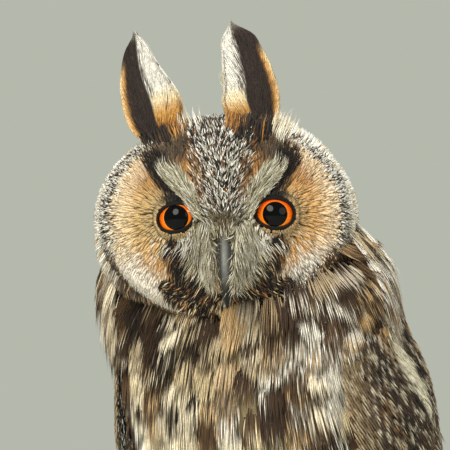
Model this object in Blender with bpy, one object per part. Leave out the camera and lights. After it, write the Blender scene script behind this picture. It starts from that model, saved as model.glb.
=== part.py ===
"""A long-eared owl at life size, gripping a short cut branch on a plain display stand.

Metres, +Z up. The origin is the centre of the stand's underside. The body faces -Y and its left
wing is at +X; the head is turned towards its left. Heights on the bird are measured from the top
of the branch, and places on the head from the middle of the line between the eyes.
"""

import math

import bmesh
import bpy
from mathutils import Matrix, Vector

MM = 0.001
GAP = 0.3 * MM
DEGREE = math.pi / 180

# Stand: a wooden base, two steel rods and the branch that they carry.
BASE_WIDTH = 156 * MM
BASE_DEPTH = 172 * MM
BASE_HEIGHT = 14 * MM
BASE_CORNER = 30 * MM
BASE_EDGE = 2.5 * MM
ROD_RADIUS = 3.5 * MM
ROD_SPREAD = 56 * MM
PERCH_RADIUS = 12 * MM
PERCH_LENGTH = 158 * MM
PERCH_KNOBBLE = 0.7 * MM
TAIL_DROP = 106 * MM
TAIL_CLEARANCE = 12 * MM
PERCH_TOP = BASE_HEIGHT + TAIL_CLEARANCE + TAIL_DROP
PERCH_BACK = -14 * MM

# Body stations from the head down to the tail tip: the middle's place backwards and upwards, then
# the half width, the depth in front and the depth behind, in millimetres with the feathers on.
BODY_STATIONS = (
    (-36, 206, 50, 26, 36),
    (-27, 184, 60, 34, 46),
    (-14, 158, 57, 48, 50),
    (-1, 130, 54, 53, 51),
    (10, 100, 53, 56, 47),
    (20, 72, 50, 53, 42),
    (29, 44, 44, 46, 35),
    (38, 18, 34, 34, 27),
    (46, -8, 22, 20, 17),
    (54, -32, 13, 9, 10),
    (60, -52, 11, 6, 7),
    (66, -72, 10, 5, 6),
    (77, -106, 9, 4, 5),
)
# The half width and the depth behind of the folded wings' bed, station by station.
WING_BED = (
    (50, 36),
    (60, 46),
    (56, 50),
    (54, 51),
    (53, 47),
    (50.5, 43),
    (47, 38),
    (42, 33),
    (36.5, 27.5),
    (31, 22.5),
    (27, 18.5),
    (24, 15),
    (19, 11),
)
BODY_SEGMENTS = 28
TORSO_STEPS = 16
NECK_STEPS = 8
NECK_TOP = 0.15
NECK_FOOT = 1.75
TORSO_FOOT = 9.3

# Head: its middle, how it is turned, and the half sizes of its plumage.
HEAD_BACK = -38
HEAD_UP = 212
HEAD_TURN = 27 * DEGREE
HEAD_NOD = 2 * DEGREE
HEAD_TILT = -2 * DEGREE
HEAD_HALF_WIDTH = 51.5
HEAD_HALF_HEIGHT = 38.8
HEAD_DROP = -1.5
FACE_SHARE = 0.56
HEAD_SEGMENTS = 32
HEAD_RINGS = 16
FACE_DEPTH = 30
NAPE_DEPTH = 44
RIM_RADIUS = 0.9

# Eyes, lids and bill, in millimetres from the middle of the head.
EYE_OUT = 17.6
EYE_UP = 0.5
EYE_BACK = -20.5
EYE_RADIUS = 9.5
LID_THICKNESS = 1.2
UPPER_LID = 5.0
LOWER_LID = -5.9
LID_FROWN = 10 * DEGREE

# Rows of wing feathers: how many, the first and last root (station, degrees from the breast), the
# first and last tip, the width and lift in millimetres at root and tip, and the steps along.
WING_ROWS = {
    "primaries": (6, (5.1, 78), (5.7, 114), (11.7, 106), (9.7, 166), 11, 2.3, 2.6, 5),
    "secondaries": (6, (4.9, 94), (5.2, 160), (8.7, 131), (8.5, 173), 17, 3.9, 7.4, 4),
    "greater_coverts": (7, (4.0, 68), (4.0, 160), (6.5, 84), (6.3, 170), 18, 3.9, 9.6, 3),
    "median_coverts": (6, (2.9, 64), (2.9, 146), (4.9, 72), (4.9, 158), 19, 3.4, 9.2, 3),
    "lesser_coverts": (5, (2.1, 68), (2.1, 122), (3.6, 66), (3.6, 134), 18, 3.0, 8.4, 3),
}
VANE_THICKNESS = 0.6 * MM
VANE_SPACING = 1.05 * MM
WING_VANE_STEP = 1.5 * MM
WING_VANE_CAMBER = 0.85
STEEPEST_SLOPE = 0.55
WING_CORE_TOP = 1.7
WING_CORE_FOOT = 6.1
WING_CORE_THICKNESS = 5.6
# The wing core's front and rear edges, in degrees from the breast, station by station.
WING_EDGES = ((54, 116), (54, 120), (54, 130), (58, 146), (62, 160), (72, 166), (84, 168), (92, 168))

TAIL_PAIRS = 6
TAIL_ROOT = 7.0
TAIL_LENGTH = 125
TAIL_FEATHER_WIDTH = 17

COLOURS = {
    "plumage": ((0.42, 0.32, 0.21), 0.9),
    "tuft": ((0.12, 0.09, 0.07), 0.9),
    "eye": ((0.85, 0.28, 0.02), 0.1),
    "bill": ((0.05, 0.055, 0.06), 0.4),
    "claw": ((0.03, 0.03, 0.03), 0.35),
    "toe": ((0.62, 0.48, 0.32), 0.9),
    "bark": ((0.22, 0.16, 0.11), 0.95),
    "base_wood": ((0.30, 0.18, 0.10), 0.5),
    "steel": ((0.5, 0.5, 0.52), 0.35),
}


def clear_scene():
    for old in list(bpy.data.objects):
        bpy.data.objects.remove(old)


def material(name):
    colour, roughness = COLOURS[name]
    found = bpy.data.materials.get(name) or bpy.data.materials.new(name)
    found.use_nodes = True
    shader = found.node_tree.nodes["Principled BSDF"]
    shader.inputs["Base Color"].default_value = (*colour, 1)
    shader.inputs["Roughness"].default_value = roughness
    shader.inputs["Metallic"].default_value = 1.0 if name == "steel" else 0.0
    return found


def blend(rows, place):
    """The row at a fractional place in a list of rows, on a smooth curve through them."""
    last = len(rows) - 1
    place = min(max(place, 0.0), float(last))
    i = min(int(place), last - 1)
    t = place - i
    before, here, there, after = (rows[min(max(j, 0), last)] for j in (i - 1, i, i + 1, i + 2))
    return [
        0.5 * (2 * b + (c - a) * t + (2 * a - 5 * b + 4 * c - d) * t * t + (3 * b - a - 3 * c + d) * t**3)
        for a, b, c, d in zip(before, here, there, after)
    ]


def bump(distance, width):
    return math.exp(-((distance / width) ** 2))


def ease(value, low, high):
    t = min(max((value - low) / (high - low), 0.0), 1.0)
    return t * t * (3 - 2 * t)


# Making closed meshes


def round_body(place, around, along):
    """A closed mesh from a globe's points: place(turn, step) gives each point, with both in 0 to 1."""
    mesh = bmesh.new()
    bmesh.ops.create_uvsphere(mesh, u_segments=around, v_segments=along, radius=1)
    for vertex in mesh.verts:
        x, y, z = vertex.co
        step = math.acos(min(max(z, -1), 1)) / math.pi
        vertex.co = place(math.atan2(y, x) / (2 * math.pi), step)
    bmesh.ops.triangulate(mesh, faces=mesh.faces[:], quad_method="FIXED")
    return mesh


def tube(centre, across, upright, radii, around=8, along=6):
    """A closed tube with flat ends. centre(t) is its line; across and upright(t) its section's axes."""

    def place(turn, step):
        t = min(max((step - 1 / along) / (1 - 2 / along), 0.0), 1.0)
        if step < 0.5 / along or step > 1 - 0.5 / along:
            return centre(t)
        wide, high = radii(t)
        angle = 2 * math.pi * turn
        return centre(t) + across(t) * wide * math.cos(angle) + upright(t) * high * math.sin(angle)

    return round_body(place, around, along)


def slab(place, columns, rows):
    """A closed sheet with thickness: place(u, v, side) with u and v in 0 to 1 and side 0 or 1."""
    mesh = bmesh.new()
    bmesh.ops.create_grid(mesh, x_segments=columns, y_segments=rows, size=1)
    bmesh.ops.triangulate(mesh, faces=mesh.faces[:])
    lower = {v: ((v.co.x + 1) / 2, (v.co.y + 1) / 2) for v in mesh.verts}
    made = bmesh.ops.extrude_face_region(mesh, geom=mesh.faces[:], use_keep_orig=True)
    upper = [v for v in made["geom"] if isinstance(v, bmesh.types.BMVert)]
    upper = {v: ((v.co.x + 1) / 2, (v.co.y + 1) / 2) for v in upper}
    for side, found in enumerate((lower, upper)):
        for vertex, (u, v) in found.items():
            vertex.co = place(u, v, side)
    return mesh


def make_object(name, mesh, paint, matrix=None):
    bmesh.ops.recalc_face_normals(mesh, faces=mesh.faces[:])
    if mesh.calc_volume(signed=True) < 0:
        bmesh.ops.reverse_faces(mesh, faces=mesh.faces[:])
    data = bpy.data.meshes.new(name)
    mesh.to_mesh(data)
    mesh.free()
    if matrix:
        data.transform(matrix)
    data.materials.append(material(paint))
    made = bpy.data.objects.new(name, data)
    bpy.context.scene.collection.objects.link(made)
    return made


def apply_boolean(target, others, operation, solver="EXACT"):
    """Joins or cuts target with the other objects, and removes them."""
    group = bpy.data.collections.new("tools")
    bpy.context.scene.collection.children.link(group)
    for other in others:
        group.objects.link(other)
    modifier = target.modifiers.new(operation.lower(), "BOOLEAN")
    modifier.operation = operation
    modifier.operand_type = "COLLECTION"
    modifier.collection = group
    modifier.solver = solver
    bpy.context.view_layer.update()
    graph = bpy.context.evaluated_depsgraph_get()
    joined = bpy.data.meshes.new_from_object(target.evaluated_get(graph))
    target.modifiers.clear()
    paint = target.data.materials[0]
    target.data = joined
    joined.materials.clear()
    joined.materials.append(paint)
    for other in others:
        bpy.data.objects.remove(other)
    bpy.data.collections.remove(group)
    keep_largest(target)
    return target


def keep_largest(target):
    """Leaves only the largest closed surface of an object."""
    mesh = bmesh.new()
    mesh.from_mesh(target.data)
    left, shells = set(mesh.faces), []
    while left:
        shell, edge_of = set(), [left.pop()]
        while edge_of:
            face = edge_of.pop()
            shell.add(face)
            for edge in face.edges:
                for other in edge.link_faces:
                    if other in left:
                        left.remove(other)
                        edge_of.append(other)
        shells.append(shell)
    size = {id(s): sum(f.calc_area() for f in s) for s in shells}
    shells.sort(key=lambda s: size[id(s)])
    for shell in shells[:-1]:
        bmesh.ops.delete(mesh, geom=list(shell), context="FACES")
    loose = [v for v in mesh.verts if not v.link_faces]
    bmesh.ops.delete(mesh, geom=loose, context="VERTS")
    mesh.to_mesh(target.data)
    mesh.free()


# Body


def spine(station):
    back, up, *_ = blend(BODY_STATIONS, station)
    return Vector((0, back * MM, PERCH_TOP + up * MM))


def body_axes(station):
    """Unit vectors of a station's section: along the body downwards, and out of its back."""
    down = (spine(station + 0.05) - spine(station - 0.05)).normalized()
    return down, Vector((1, 0, 0)).cross(down).normalized()


def section_point(side, station, degrees, half_width, front, behind):
    angle = degrees * DEGREE
    _, back = body_axes(station)
    if back.y < 0:
        back = -back
    depth = front if math.cos(angle) > 0 else behind
    across = Vector((side * half_width * math.sin(angle) * MM, 0, 0))
    return spine(station) + across - back * (depth * math.cos(angle) * MM)


def body_point(station, degrees, swell=0.0):
    _, _, half_width, front, behind = blend(BODY_STATIONS, station)
    side = 1 if degrees >= 0 else -1
    return section_point(
        side, station, abs(degrees), half_width + swell, front + swell, behind + swell
    )


def body_part(name, top, foot, along, swell=0.0):
    """A length of the body between two stations, with flat ends."""

    def place(turn, step):
        t = min(max((step - 1 / along) / (1 - 2 / along), 0.0), 1.0)
        station = top + (foot - top) * t
        station += 0.05 * swell * ease(t, 0.9, 1)
        if step < 0.5 / along or step > 1 - 0.5 / along:
            return spine(station)
        return body_point(station, 360 * turn, swell)

    return make_object(name, round_body(place, BODY_SEGMENTS, along), "plumage")


def torso(name="torso", swell=0.0):
    return body_part(name, NECK_FOOT + 0.011, TORSO_FOOT, TORSO_STEPS, swell)


def cut_to_body(target):
    """Cuts away what lies inside the torso and the neck, with the gap between nodes."""
    apply_boolean(target, [torso("cutter", GAP / MM)], "DIFFERENCE", "MANIFOLD")
    if max(v.co.z for v in target.data.vertices) < body_point(NECK_FOOT, 0).z:
        return target
    cutter = body_part("cutter", NECK_TOP, NECK_FOOT + 0.02, NECK_STEPS, GAP / MM)
    return apply_boolean(target, [cutter], "DIFFERENCE", "MANIFOLD")


# Wings


def bed_point(side, station, degrees):
    """A point of the smooth bed that the folded wings lie on."""
    _, _, _, front, _ = blend(BODY_STATIONS, station)
    half_width, behind = blend(WING_BED, station)
    return section_point(side, station, degrees, half_width, front, behind)


def lifted(side, station, degrees, lift):
    """A point above the wings' bed, by lift in millimetres along the bed's normal."""
    step = 0.02
    here = bed_point(side, station, degrees)
    along = bed_point(side, station + step, degrees) - bed_point(side, station - step, degrees)
    around = bed_point(side, station, degrees + 1) - bed_point(side, station, degrees - 1)
    normal = along.cross(around).normalized()
    if normal.dot(here - spine(station)) < 0:
        normal = -normal
    return here + normal * (lift * MM), normal


def level(t):
    return 0.0


def vane(line, normal, half_width, rows, slope=level, tip=0.16, root=0.5, camber=0.5, columns=2):
    """A feather: line(t) is its shaft and normal(t) its upper side. slope(t) tilts it sideways."""

    def outline(t):
        narrow = 1 - (1 - tip) * max(0.0, (t - 0.55) / 0.45) ** 2.2
        return (root + (1 - root) * ease(t, 0, 0.35)) * narrow

    def place(u, v, side):
        t = 0.5 * (1 - math.cos(math.pi * v)) * 0.3 + v * 0.7
        along = (line(min(t + 0.02, 1.0)) - line(max(t - 0.02, 0.0))).normalized()
        out = normal(t)
        across = along.cross(out).normalized()
        offset = 2 * u - 1
        sideways = offset * half_width * outline(t)
        lift = slope(t) * sideways + camber * MM * (1 - abs(offset)) * outline(t)
        return line(t) + across * sideways + out * (lift + (side - 0.5) * VANE_THICKNESS)

    return slab(place, columns, rows)


def wing_shaft(side, row, number):
    """The shaft of a wing feather, as a function that gives its point and normal at t."""
    count, first_root, last_root, first_tip, last_tip, _, lift_root, lift_tip, _ = WING_ROWS[row]
    share = number / (count - 1)
    root = [a + (b - a) * share for a, b in zip(first_root, last_root)]
    tip = [a + (b - a) * share for a, b in zip(first_tip, last_tip)]

    def place(t):
        station = root[0] + (tip[0] - root[0]) * t
        degrees = root[1] + (tip[1] - root[1]) * t - 3.0 * math.sin(math.pi * t)
        return lifted(side, station, degrees, lift_root + (lift_tip - lift_root) * ease(t, 0, 0.8))

    return place


def wing_feather(side, row, number):
    count, *_, width, _, _, rows = WING_ROWS[row]
    place = wing_shaft(side, row, number)
    neighbour = wing_shaft(side, row, number + 1 if number + 1 < count else number - 1)

    def slope(t):
        spacing = (place(t)[0] - neighbour(t)[0]).length
        return -side * min(WING_VANE_STEP / spacing, STEEPEST_SLOPE)

    return vane(
        lambda t: place(t)[0],
        lambda t: place(t)[1],
        width / 2 * MM,
        rows,
        slope,
        camber=WING_VANE_CAMBER,
    )


def wing(name, side):
    def core_place(u, v, face):
        station = WING_CORE_TOP + (WING_CORE_FOOT - WING_CORE_TOP) * v
        front, rear = blend(WING_EDGES, station)
        squeeze = 1 - 0.2 * (1 - ease(v, 0, 0.2)) - 0.25 * ease(v, 0.8, 1)
        middle, half = (front + rear) / 2, (rear - front) / 2 * squeeze
        degrees = middle + half * (2 * u - 1)
        round_off = math.sqrt(max(0.0, 1 - (2 * u - 1) ** 4)) * math.sqrt(max(0.0, 1 - (2 * v - 1) ** 6))
        lift = -1.5 if face == 0 else 0.9 + (WING_CORE_THICKNESS - 0.9) * round_off
        return lifted(side, station, degrees, lift)[0]

    made = make_object(name, slab(core_place, 7, 8), "plumage")
    feathers = []
    for row in WING_ROWS:
        for number in range(WING_ROWS[row][0]):
            mesh = wing_feather(side, row, number)
            feathers.append(make_object(f"{name}_{row}_{number}", mesh, "plumage"))
    apply_boolean(made, feathers, "UNION", "MANIFOLD")
    return cut_to_body(made)


# Tail


def tail_axes():
    start = spine(TAIL_ROOT)
    down = (spine(12) - start).normalized()
    back = Vector((0, -down.z, down.y))
    return start, down, back


def tail():
    start, down, back = tail_axes()
    made, feathers = None, []
    for pair in range(TAIL_PAIRS):
        for side in (-1, 1):
            out = max(0, pair - 1) / (TAIL_PAIRS - 2)
            layer = 0.5 * (1 + side) if pair == 0 else pair + 1
            sink = (0.3 + layer) * VANE_SPACING
            length = (TAIL_LENGTH - 5 * out**2) * MM
            root_out = side * (9 + 1.5 * out if pair else 1) * MM
            tip_out = side * (9.4 + 12 * out if pair else 1.5) * MM

            def line(t, root_out=root_out, tip_out=tip_out, length=length, sink=sink):
                across = Vector((root_out + (tip_out - root_out) * t**0.8, 0, 0))
                return start + down * (length * t) + across - back * sink

            mesh = vane(line, lambda t: back, TAIL_FEATHER_WIDTH / 2 * MM, 3, tip=0.3, camber=0, columns=1)
            feathers.append(make_object(f"tail_feather_{pair}_{side}", mesh, "plumage"))
    root_half = (15.5, 8.5)
    made = make_object(
        "tail",
        tube(
            lambda t: start + down * ((-4 + 80 * t) * MM) - back * (4.2 * MM),
            lambda t: Vector((1, 0, 0)),
            lambda t: back,
            lambda t: ((root_half[0] + 2 * t) * MM, (root_half[1] - 4.9 * t) * MM),
            around=14,
            along=7,
        ),
        "plumage",
    )
    apply_boolean(made, feathers, "UNION", "MANIFOLD")
    return cut_to_body(made)


# Head


def head_matrix():
    turned = (
        Matrix.Rotation(HEAD_TURN, 4, "Z")
        @ Matrix.Rotation(HEAD_TILT, 4, "Y")
        @ Matrix.Rotation(HEAD_NOD, 4, "X")
    )
    return Matrix.Translation((0, HEAD_BACK * MM, PERCH_TOP + HEAD_UP * MM)) @ turned


def to_segment(x, z, ax, az, bx, bz):
    """How far (x, z) is from the segment a to b, and where along it."""
    t = ((x - ax) * (bx - ax) + (z - az) * (bz - az)) / ((bx - ax) ** 2 + (bz - az) ** 2)
    t = min(max(t, 0.0), 1.0)
    return math.hypot(x - ax - t * (bx - ax), z - az - t * (bz - az)), t


def face_relief(x, z, radius):
    """How far the face stands in front of the plain rounded head there, in millimetres."""
    out = abs(x)
    relief = 3.0 * bump(radius - RIM_RADIUS, 0.055) * ease(out, 6, 16)
    relief -= 4.5 * bump(math.hypot((out - 26) / 13, (z + 3) / 20), 1.0)
    ridge_width = 5.5 + 6.0 * ease(z, 2, 30)
    relief += 8.5 * bump(out, ridge_width) * ease(z, -34, -12) * (1 - 0.7 * ease(z, 14, 38))
    brow, _ = to_segment(out, z, 7, 4, 19, 21)
    relief += 4.2 * bump(brow, 4.6)
    bristles, _ = to_segment(out, z, 7, -6, 8, -24)
    relief += 5.0 * bump(bristles, 5.5)
    return relief


def head_point(turn, step, swell=0.0):
    """A point of the head's plumage. step runs from the middle of the face to the nape."""
    angle = 2 * math.pi * turn
    if step < FACE_SHARE:
        polar = math.pi / 2 * (step / FACE_SHARE) ** 0.9
    else:
        polar = math.pi / 2 * (1 + (step - FACE_SHARE) / (1 - FACE_SHARE))
    radius = math.sin(polar)
    x = HEAD_HALF_WIDTH * radius * math.cos(angle)
    z = HEAD_DROP + HEAD_HALF_HEIGHT * radius * math.sin(angle)
    if polar <= math.pi / 2:
        y = -FACE_DEPTH * max(math.cos(polar), 0.0) ** 0.75 - face_relief(x, z, radius) * (
            1 - ease(radius, 0.97, 1.0)
        )
    else:
        y = NAPE_DEPTH * (-math.cos(polar)) ** 0.95
    point = Vector((x, y, z))
    middle = Vector((0, 0, HEAD_DROP))
    return (point + (point - middle).normalized() * swell) * MM


def head_lifted(turn, step, lift):
    here = head_point(turn, step)
    along = head_point(turn, step + 0.01) - head_point(turn, step - 0.01)
    around = head_point(turn + 0.01, step) - head_point(turn - 0.01, step)
    normal = along.cross(around).normalized()
    if normal.dot(here) < 0:
        normal = -normal
    return here + normal * (lift * MM), normal


def head_mesh(swell=0.0):
    return round_body(lambda turn, step: head_point(turn, step, swell), HEAD_SEGMENTS, HEAD_RINGS)


def eye_matrix(side):
    return Matrix.Translation((side * EYE_OUT * MM, EYE_BACK * MM, EYE_UP * MM)) @ Matrix.Rotation(
        side * 8 * DEGREE, 4, "Z"
    )


def globe(radius, around=16, along=10):
    def place(turn, step):
        angle, polar = 2 * math.pi * turn, math.pi * step
        across, up = math.sin(polar) * math.cos(angle), math.sin(polar) * math.sin(angle)
        return Vector((across, -math.cos(polar), up)) * (radius * MM)

    return round_body(place, around, along)


def lid(side, upper):
    """A crescent of shell over the eye, above or below the lid's edge."""
    mesh = globe(EYE_RADIUS + GAP / MM + LID_THICKNESS, 14, 8)
    edge = UPPER_LID if upper else LOWER_LID
    tilt = side * LID_FROWN * (1 if upper else 0.2)
    normal = Matrix.Rotation(-tilt, 3, "Y") @ Vector((0, 0, 1 if upper else -1))
    bmesh.ops.bisect_plane(
        mesh,
        geom=mesh.verts[:] + mesh.edges[:] + mesh.faces[:],
        plane_co=normal * abs(edge) * MM,
        plane_no=normal,
        clear_inner=True,
    )
    bmesh.ops.holes_fill(mesh, edges=[e for e in mesh.edges if e.is_boundary])
    bmesh.ops.triangulate(mesh, faces=mesh.faces[:])
    return make_object("lid", mesh, "plumage", eye_matrix(side))


RUFF_FEATHERS = 34
RUFF_OPEN = ((0.12, 0.38), (0.73, 0.77))
RUFF_SLOPE = 0.185
RUFF_RISE = 1.9
RUFF_WIDTH = 9.6


def ruff_feather(turn):
    slope = math.copysign(RUFF_SLOPE, math.cos(2 * math.pi * turn))

    def place(t):
        return head_lifted(turn, 0.455 + 0.115 * t, -1.2 + (0.6 + RUFF_RISE) * t)

    return vane(
        lambda t: place(t)[0],
        lambda t: place(t)[1],
        RUFF_WIDTH / 2 * MM,
        2,
        slope=lambda t: slope,
        root=0.8,
        camber=0,
        columns=1,
    )


def face_lock(side, start, end, width, sink, rise):
    """A tapered lock lying over the face from start to end, each as (out, up)."""

    def place(t):
        x = side * (start[0] + (end[0] - start[0]) * t)
        z = start[1] + (end[1] - start[1]) * t
        radius = math.hypot(x / HEAD_HALF_WIDTH, (z - HEAD_DROP) / HEAD_HALF_HEIGHT)
        depth = -FACE_DEPTH * math.sqrt(max(0.0, 1 - radius * radius)) ** 0.75
        y = depth - face_relief(x, z, radius) - (-sink + (sink + rise) * t)
        return Vector((x, y, z)) * MM

    return vane(place, lambda t: Vector((0, -1, 0)), width / 2 * MM, 2, root=0.7, tip=0.25, columns=1)


def head():
    made = make_object("head", head_mesh(), "plumage")
    pieces = [lid(side, upper) for side in (-1, 1) for upper in (True, False)]
    for i in range(RUFF_FEATHERS):
        turn = (i + 0.5) / RUFF_FEATHERS
        if all(not low < turn < high for low, high in RUFF_OPEN):
            pieces.append(make_object("ruff", ruff_feather(turn), "plumage"))
    for side in (-1, 1):
        for i in range(4):
            start = (7.5 + 1.6 * i, 4.0 - 3.5 * i)
            end = (8.5 + 2.8 * i, -25 + 3.0 * i)
            mesh = face_lock(side, start, end, 4.2, 1.2, 1.6)
            pieces.append(make_object("bristle", mesh, "plumage"))
        for i in range(3):
            start = (7.0 + 2.0 * i, 6.0 + 2.2 * i)
            end = (15 + 3.2 * i, 25 - 3.4 * i)
            mesh = face_lock(side, start, end, 3.6, 1.2, 0.6 + 1.0 * i)
            pieces.append(make_object("brow", mesh, "plumage"))
    apply_boolean(made, pieces, "UNION", "MANIFOLD")
    cutters = [
        make_object("socket", globe(EYE_RADIUS + GAP / MM), "plumage", eye_matrix(side))
        for side in (-1, 1)
    ]
    cutters.append(bill_piece("bill_cutter", UPPER_BILL, GAP / MM))
    cutters.append(bill_piece("bill_cutter", LOWER_BILL, GAP / MM))
    apply_boolean(made, cutters, "DIFFERENCE", "MANIFOLD")
    made.data.transform(head_matrix())
    return made


def eye(name, side):
    return make_object(name, globe(EYE_RADIUS), "eye", head_matrix() @ eye_matrix(side))


# Each half of the bill: back and up of its middle line, then half width and half height.
UPPER_BILL = (
    (-26, -9.0, 4.4, 4.8),
    (-34, -9.0, 4.4, 5.0),
    (-41, -11.5, 4.1, 4.8),
    (-45, -17.0, 3.5, 4.2),
    (-45.8, -23.5, 2.7, 3.3),
    (-44.4, -29.5, 1.6, 2.1),
    (-42.2, -34.0, 0.35, 0.5),
)
NOSTRIL = (3.9, -39.5, -8.6)
NOSTRIL_RADIUS = 1.0
LOWER_BILL = (
    (-26, -20.0, 3.4, 2.6),
    (-33, -21.0, 3.2, 2.4),
    (-37.5, -24.0, 2.6, 2.0),
    (-39.6, -27.6, 1.6, 1.2),
    (-40.2, -29.6, 0.4, 0.4),
)


def bill_piece(name, rows, swell=0.0):
    if swell:
        back, *others = rows[0]
        rows = ((back + 2 * swell, *others), *rows[1:])
    last = len(rows) - 1

    def centre(t):
        back, up, _, _ = blend(rows, t * last)
        return Vector((0, back, up)) * MM

    def upright(t):
        along = (centre(min(t + 0.03, 1)) - centre(max(t - 0.03, 0))).normalized()
        return Vector((0, -along.z, along.y))

    def radii(t):
        _, _, wide, high = blend(rows, t * last)
        return (wide + swell) * MM, (high + swell) * MM

    mesh = tube(centre, lambda t: Vector((1, 0, 0)), upright, radii, around=10, along=last + 5)
    return make_object(name, mesh, "bill")


def bill():
    upper = bill_piece("bill_upper", UPPER_BILL)
    nostrils = []
    for side in (-1, 1):
        mesh = globe(NOSTRIL_RADIUS, 10, 6)
        nostrils.append(make_object("nostril", mesh, "bill", Matrix.Translation(Vector((side * NOSTRIL[0], *NOSTRIL[1:])) * MM)))
    apply_boolean(upper, nostrils, "DIFFERENCE", "MANIFOLD")
    lower = bill_piece("bill_lower", LOWER_BILL)
    apply_boolean(lower, [bill_piece("cutter", UPPER_BILL, GAP / MM)], "DIFFERENCE", "MANIFOLD")
    for half in (upper, lower):
        half.data.transform(head_matrix())


# Each ear tuft: its root and tip as (out, back, up) from the middle of the head, how its face is
# turned from straight ahead, and its inner and outer edges from root to tip, in millimetres
# sideways from the line between root and tip.
TUFTS = {
    "ear_tuft_right": (
        -1,
        (-23, -4, 28),
        (-33.5, 2, 71),
        -20,
        ((-4.5, -7.5, -9.5, -9.8, -8.2, -5.9, -4.2, -2.5, 0), (5, 10.2, 12.4, 12.6, 12, 10.6, 8.6, 5.8, 0.9)),
    ),
    "ear_tuft_left": (
        1,
        (11.6, -4, 28),
        (3.1, 2, 73.5),
        12,
        ((-7, -7.4, -8.4, -8.8, -7, -6.2, -5.2, -4, -0.3), (8.5, 9.6, 11.2, 12, 11.6, 10.5, 9, 7, 0.9)),
    ),
}
TUFT_FEATHERS = 6
TUFT_FEATHER_WIDTH = 8.5
TUFT_SPACING = 1.15
TUFT_REACH = (0.8, 0.95, 1.0, 0.97, 0.86, 0.7)


def ear_tuft(name):
    side, root, tip, turn, edges = TUFTS[name]
    root, tip = Vector(root), Vector(tip)
    rise = (tip - root).normalized()
    face = Matrix.Rotation(turn * DEGREE, 3, "Z") @ Vector((0, -1, 0))
    across = rise.cross(face).normalized() * -1
    if across.x * side < 0:
        across = -across
    face = (face - rise * face.dot(rise)).normalized()
    feathers = []
    for i in range(TUFT_FEATHERS):
        share = i / (TUFT_FEATHERS - 1)
        reach = TUFT_REACH[i]
        layer = (i - (TUFT_FEATHERS - 1) / 2) * TUFT_SPACING

        def line(t, share=share, reach=reach, layer=layer):
            up = t * reach
            inner, outer = (blend([(e,) for e in edge], up * (len(edge) - 1))[0] for edge in edges)
            room = max(0.0, outer - inner - TUFT_FEATHER_WIDTH * (1 - 0.8 * ease(t, 0.5, 1)))
            sideways = (inner + outer) / 2 + room * (share - 0.5)
            at = root - rise * (4 * (1 - t)) + (tip - root) * up
            return (at + across * sideways - face * layer) * MM

        mesh = vane(
            line, lambda t: face, TUFT_FEATHER_WIDTH / 2 * MM, 5, root=0.7, tip=0.12, camber=0.25
        )
        feathers.append(make_object("tuft_feather", mesh, "tuft"))
    made = make_object(
        name,
        tube(
            lambda t: (root - rise * 6 + rise * 23 * t) * MM,
            lambda t: across,
            lambda t: face,
            lambda t: ((9.0 - 1.4 * t) * MM, (4.4 - 2.0 * t) * MM),
            around=12,
            along=5,
        ),
        "tuft",
    )
    apply_boolean(made, feathers, "UNION", "MANIFOLD")
    cutter = make_object("cutter", head_mesh(GAP / MM), "plumage")
    apply_boolean(made, [cutter], "DIFFERENCE", "MANIFOLD")
    made.data.transform(head_matrix())
    return made


# Legs, feet and claws

LEG_OUT = 22
LEG_ROWS = ((14, 66, 19), (10, 44, 16.5), (5, 25, 12), (1, 11, 8.5))
ANKLE_UP = 11
TOES = {
    "inner_front": (-4.5, -10, 84, 2),
    "outer_front": (4.5, 9, 84, -4),
    "hind": (-4, -7, 100, 160),
    "outer_hind": (5, 11, 98, 176),
}
TOE_ROOT_RADIUS = 4.6
TOE_TIP_RADIUS = 3.3
CLAW_RADIUS = 2.3
CLAW_SWEEP = 52


def perch_point(x, degrees, radius):
    """A point round the branch's axis: 90 degrees is its top and 0 its front."""
    angle = degrees * DEGREE
    return Vector(
        (
            x,
            PERCH_BACK - radius * math.cos(angle),
            PERCH_TOP - PERCH_RADIUS + radius * math.sin(angle),
        )
    )


def leg(name, side):
    def centre(t):
        back, up, _ = blend(LEG_ROWS, t * (len(LEG_ROWS) - 1))
        return Vector((side * LEG_OUT * MM, PERCH_BACK + back * MM, PERCH_TOP + up * MM + GAP / 2))

    def radii(t):
        radius = blend(LEG_ROWS, t * (len(LEG_ROWS) - 1))[2] * MM
        return radius, radius

    mesh = tube(
        centre, lambda t: Vector((1, 0, 0)), lambda t: Vector((0, 1, 0)), radii, around=18, along=8
    )
    made = make_object(name, mesh, "plumage")
    return cut_to_body(made)


def toe(side, out_root, out_tip, start, end):
    def centre(t):
        out = LEG_OUT + out_root + (out_tip - out_root) * t
        radius = TOE_ROOT_RADIUS + (TOE_TIP_RADIUS - TOE_ROOT_RADIUS) * t
        reach = PERCH_RADIUS + PERCH_KNOBBLE + GAP + radius * MM
        return perch_point(side * out * MM, start + (end - start) * t, reach)

    def upright(t):
        middle = perch_point(centre(t).x, 0, 0)
        return (centre(t) - middle).normalized()

    def radii(t):
        radius = (TOE_ROOT_RADIUS + (TOE_TIP_RADIUS - TOE_ROOT_RADIUS) * t) * (1 + 0.08 * math.sin(9 * t))
        return radius * MM, radius * MM

    return tube(centre, lambda t: Vector((1, 0, 0)), upright, radii, around=8, along=6)


def foot(name, side):
    pad_up = 6.4

    def place(turn, step):
        angle, polar = 2 * math.pi * turn, math.pi * step
        x = side * LEG_OUT + 9.5 * math.sin(polar) * math.cos(angle)
        y = 9.0 * math.sin(polar) * math.sin(angle)
        z = pad_up + 5.4 * math.cos(polar)
        return Vector((x * MM, PERCH_BACK + y * MM, PERCH_TOP + min(z, ANKLE_UP) * MM - GAP / 2))

    made = make_object(name, round_body(place, 12, 7), "toe")
    toes = [make_object("toe", toe(side, *sizes), "toe") for sizes in TOES.values()]
    return apply_boolean(made, toes, "UNION", "MANIFOLD")


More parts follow.
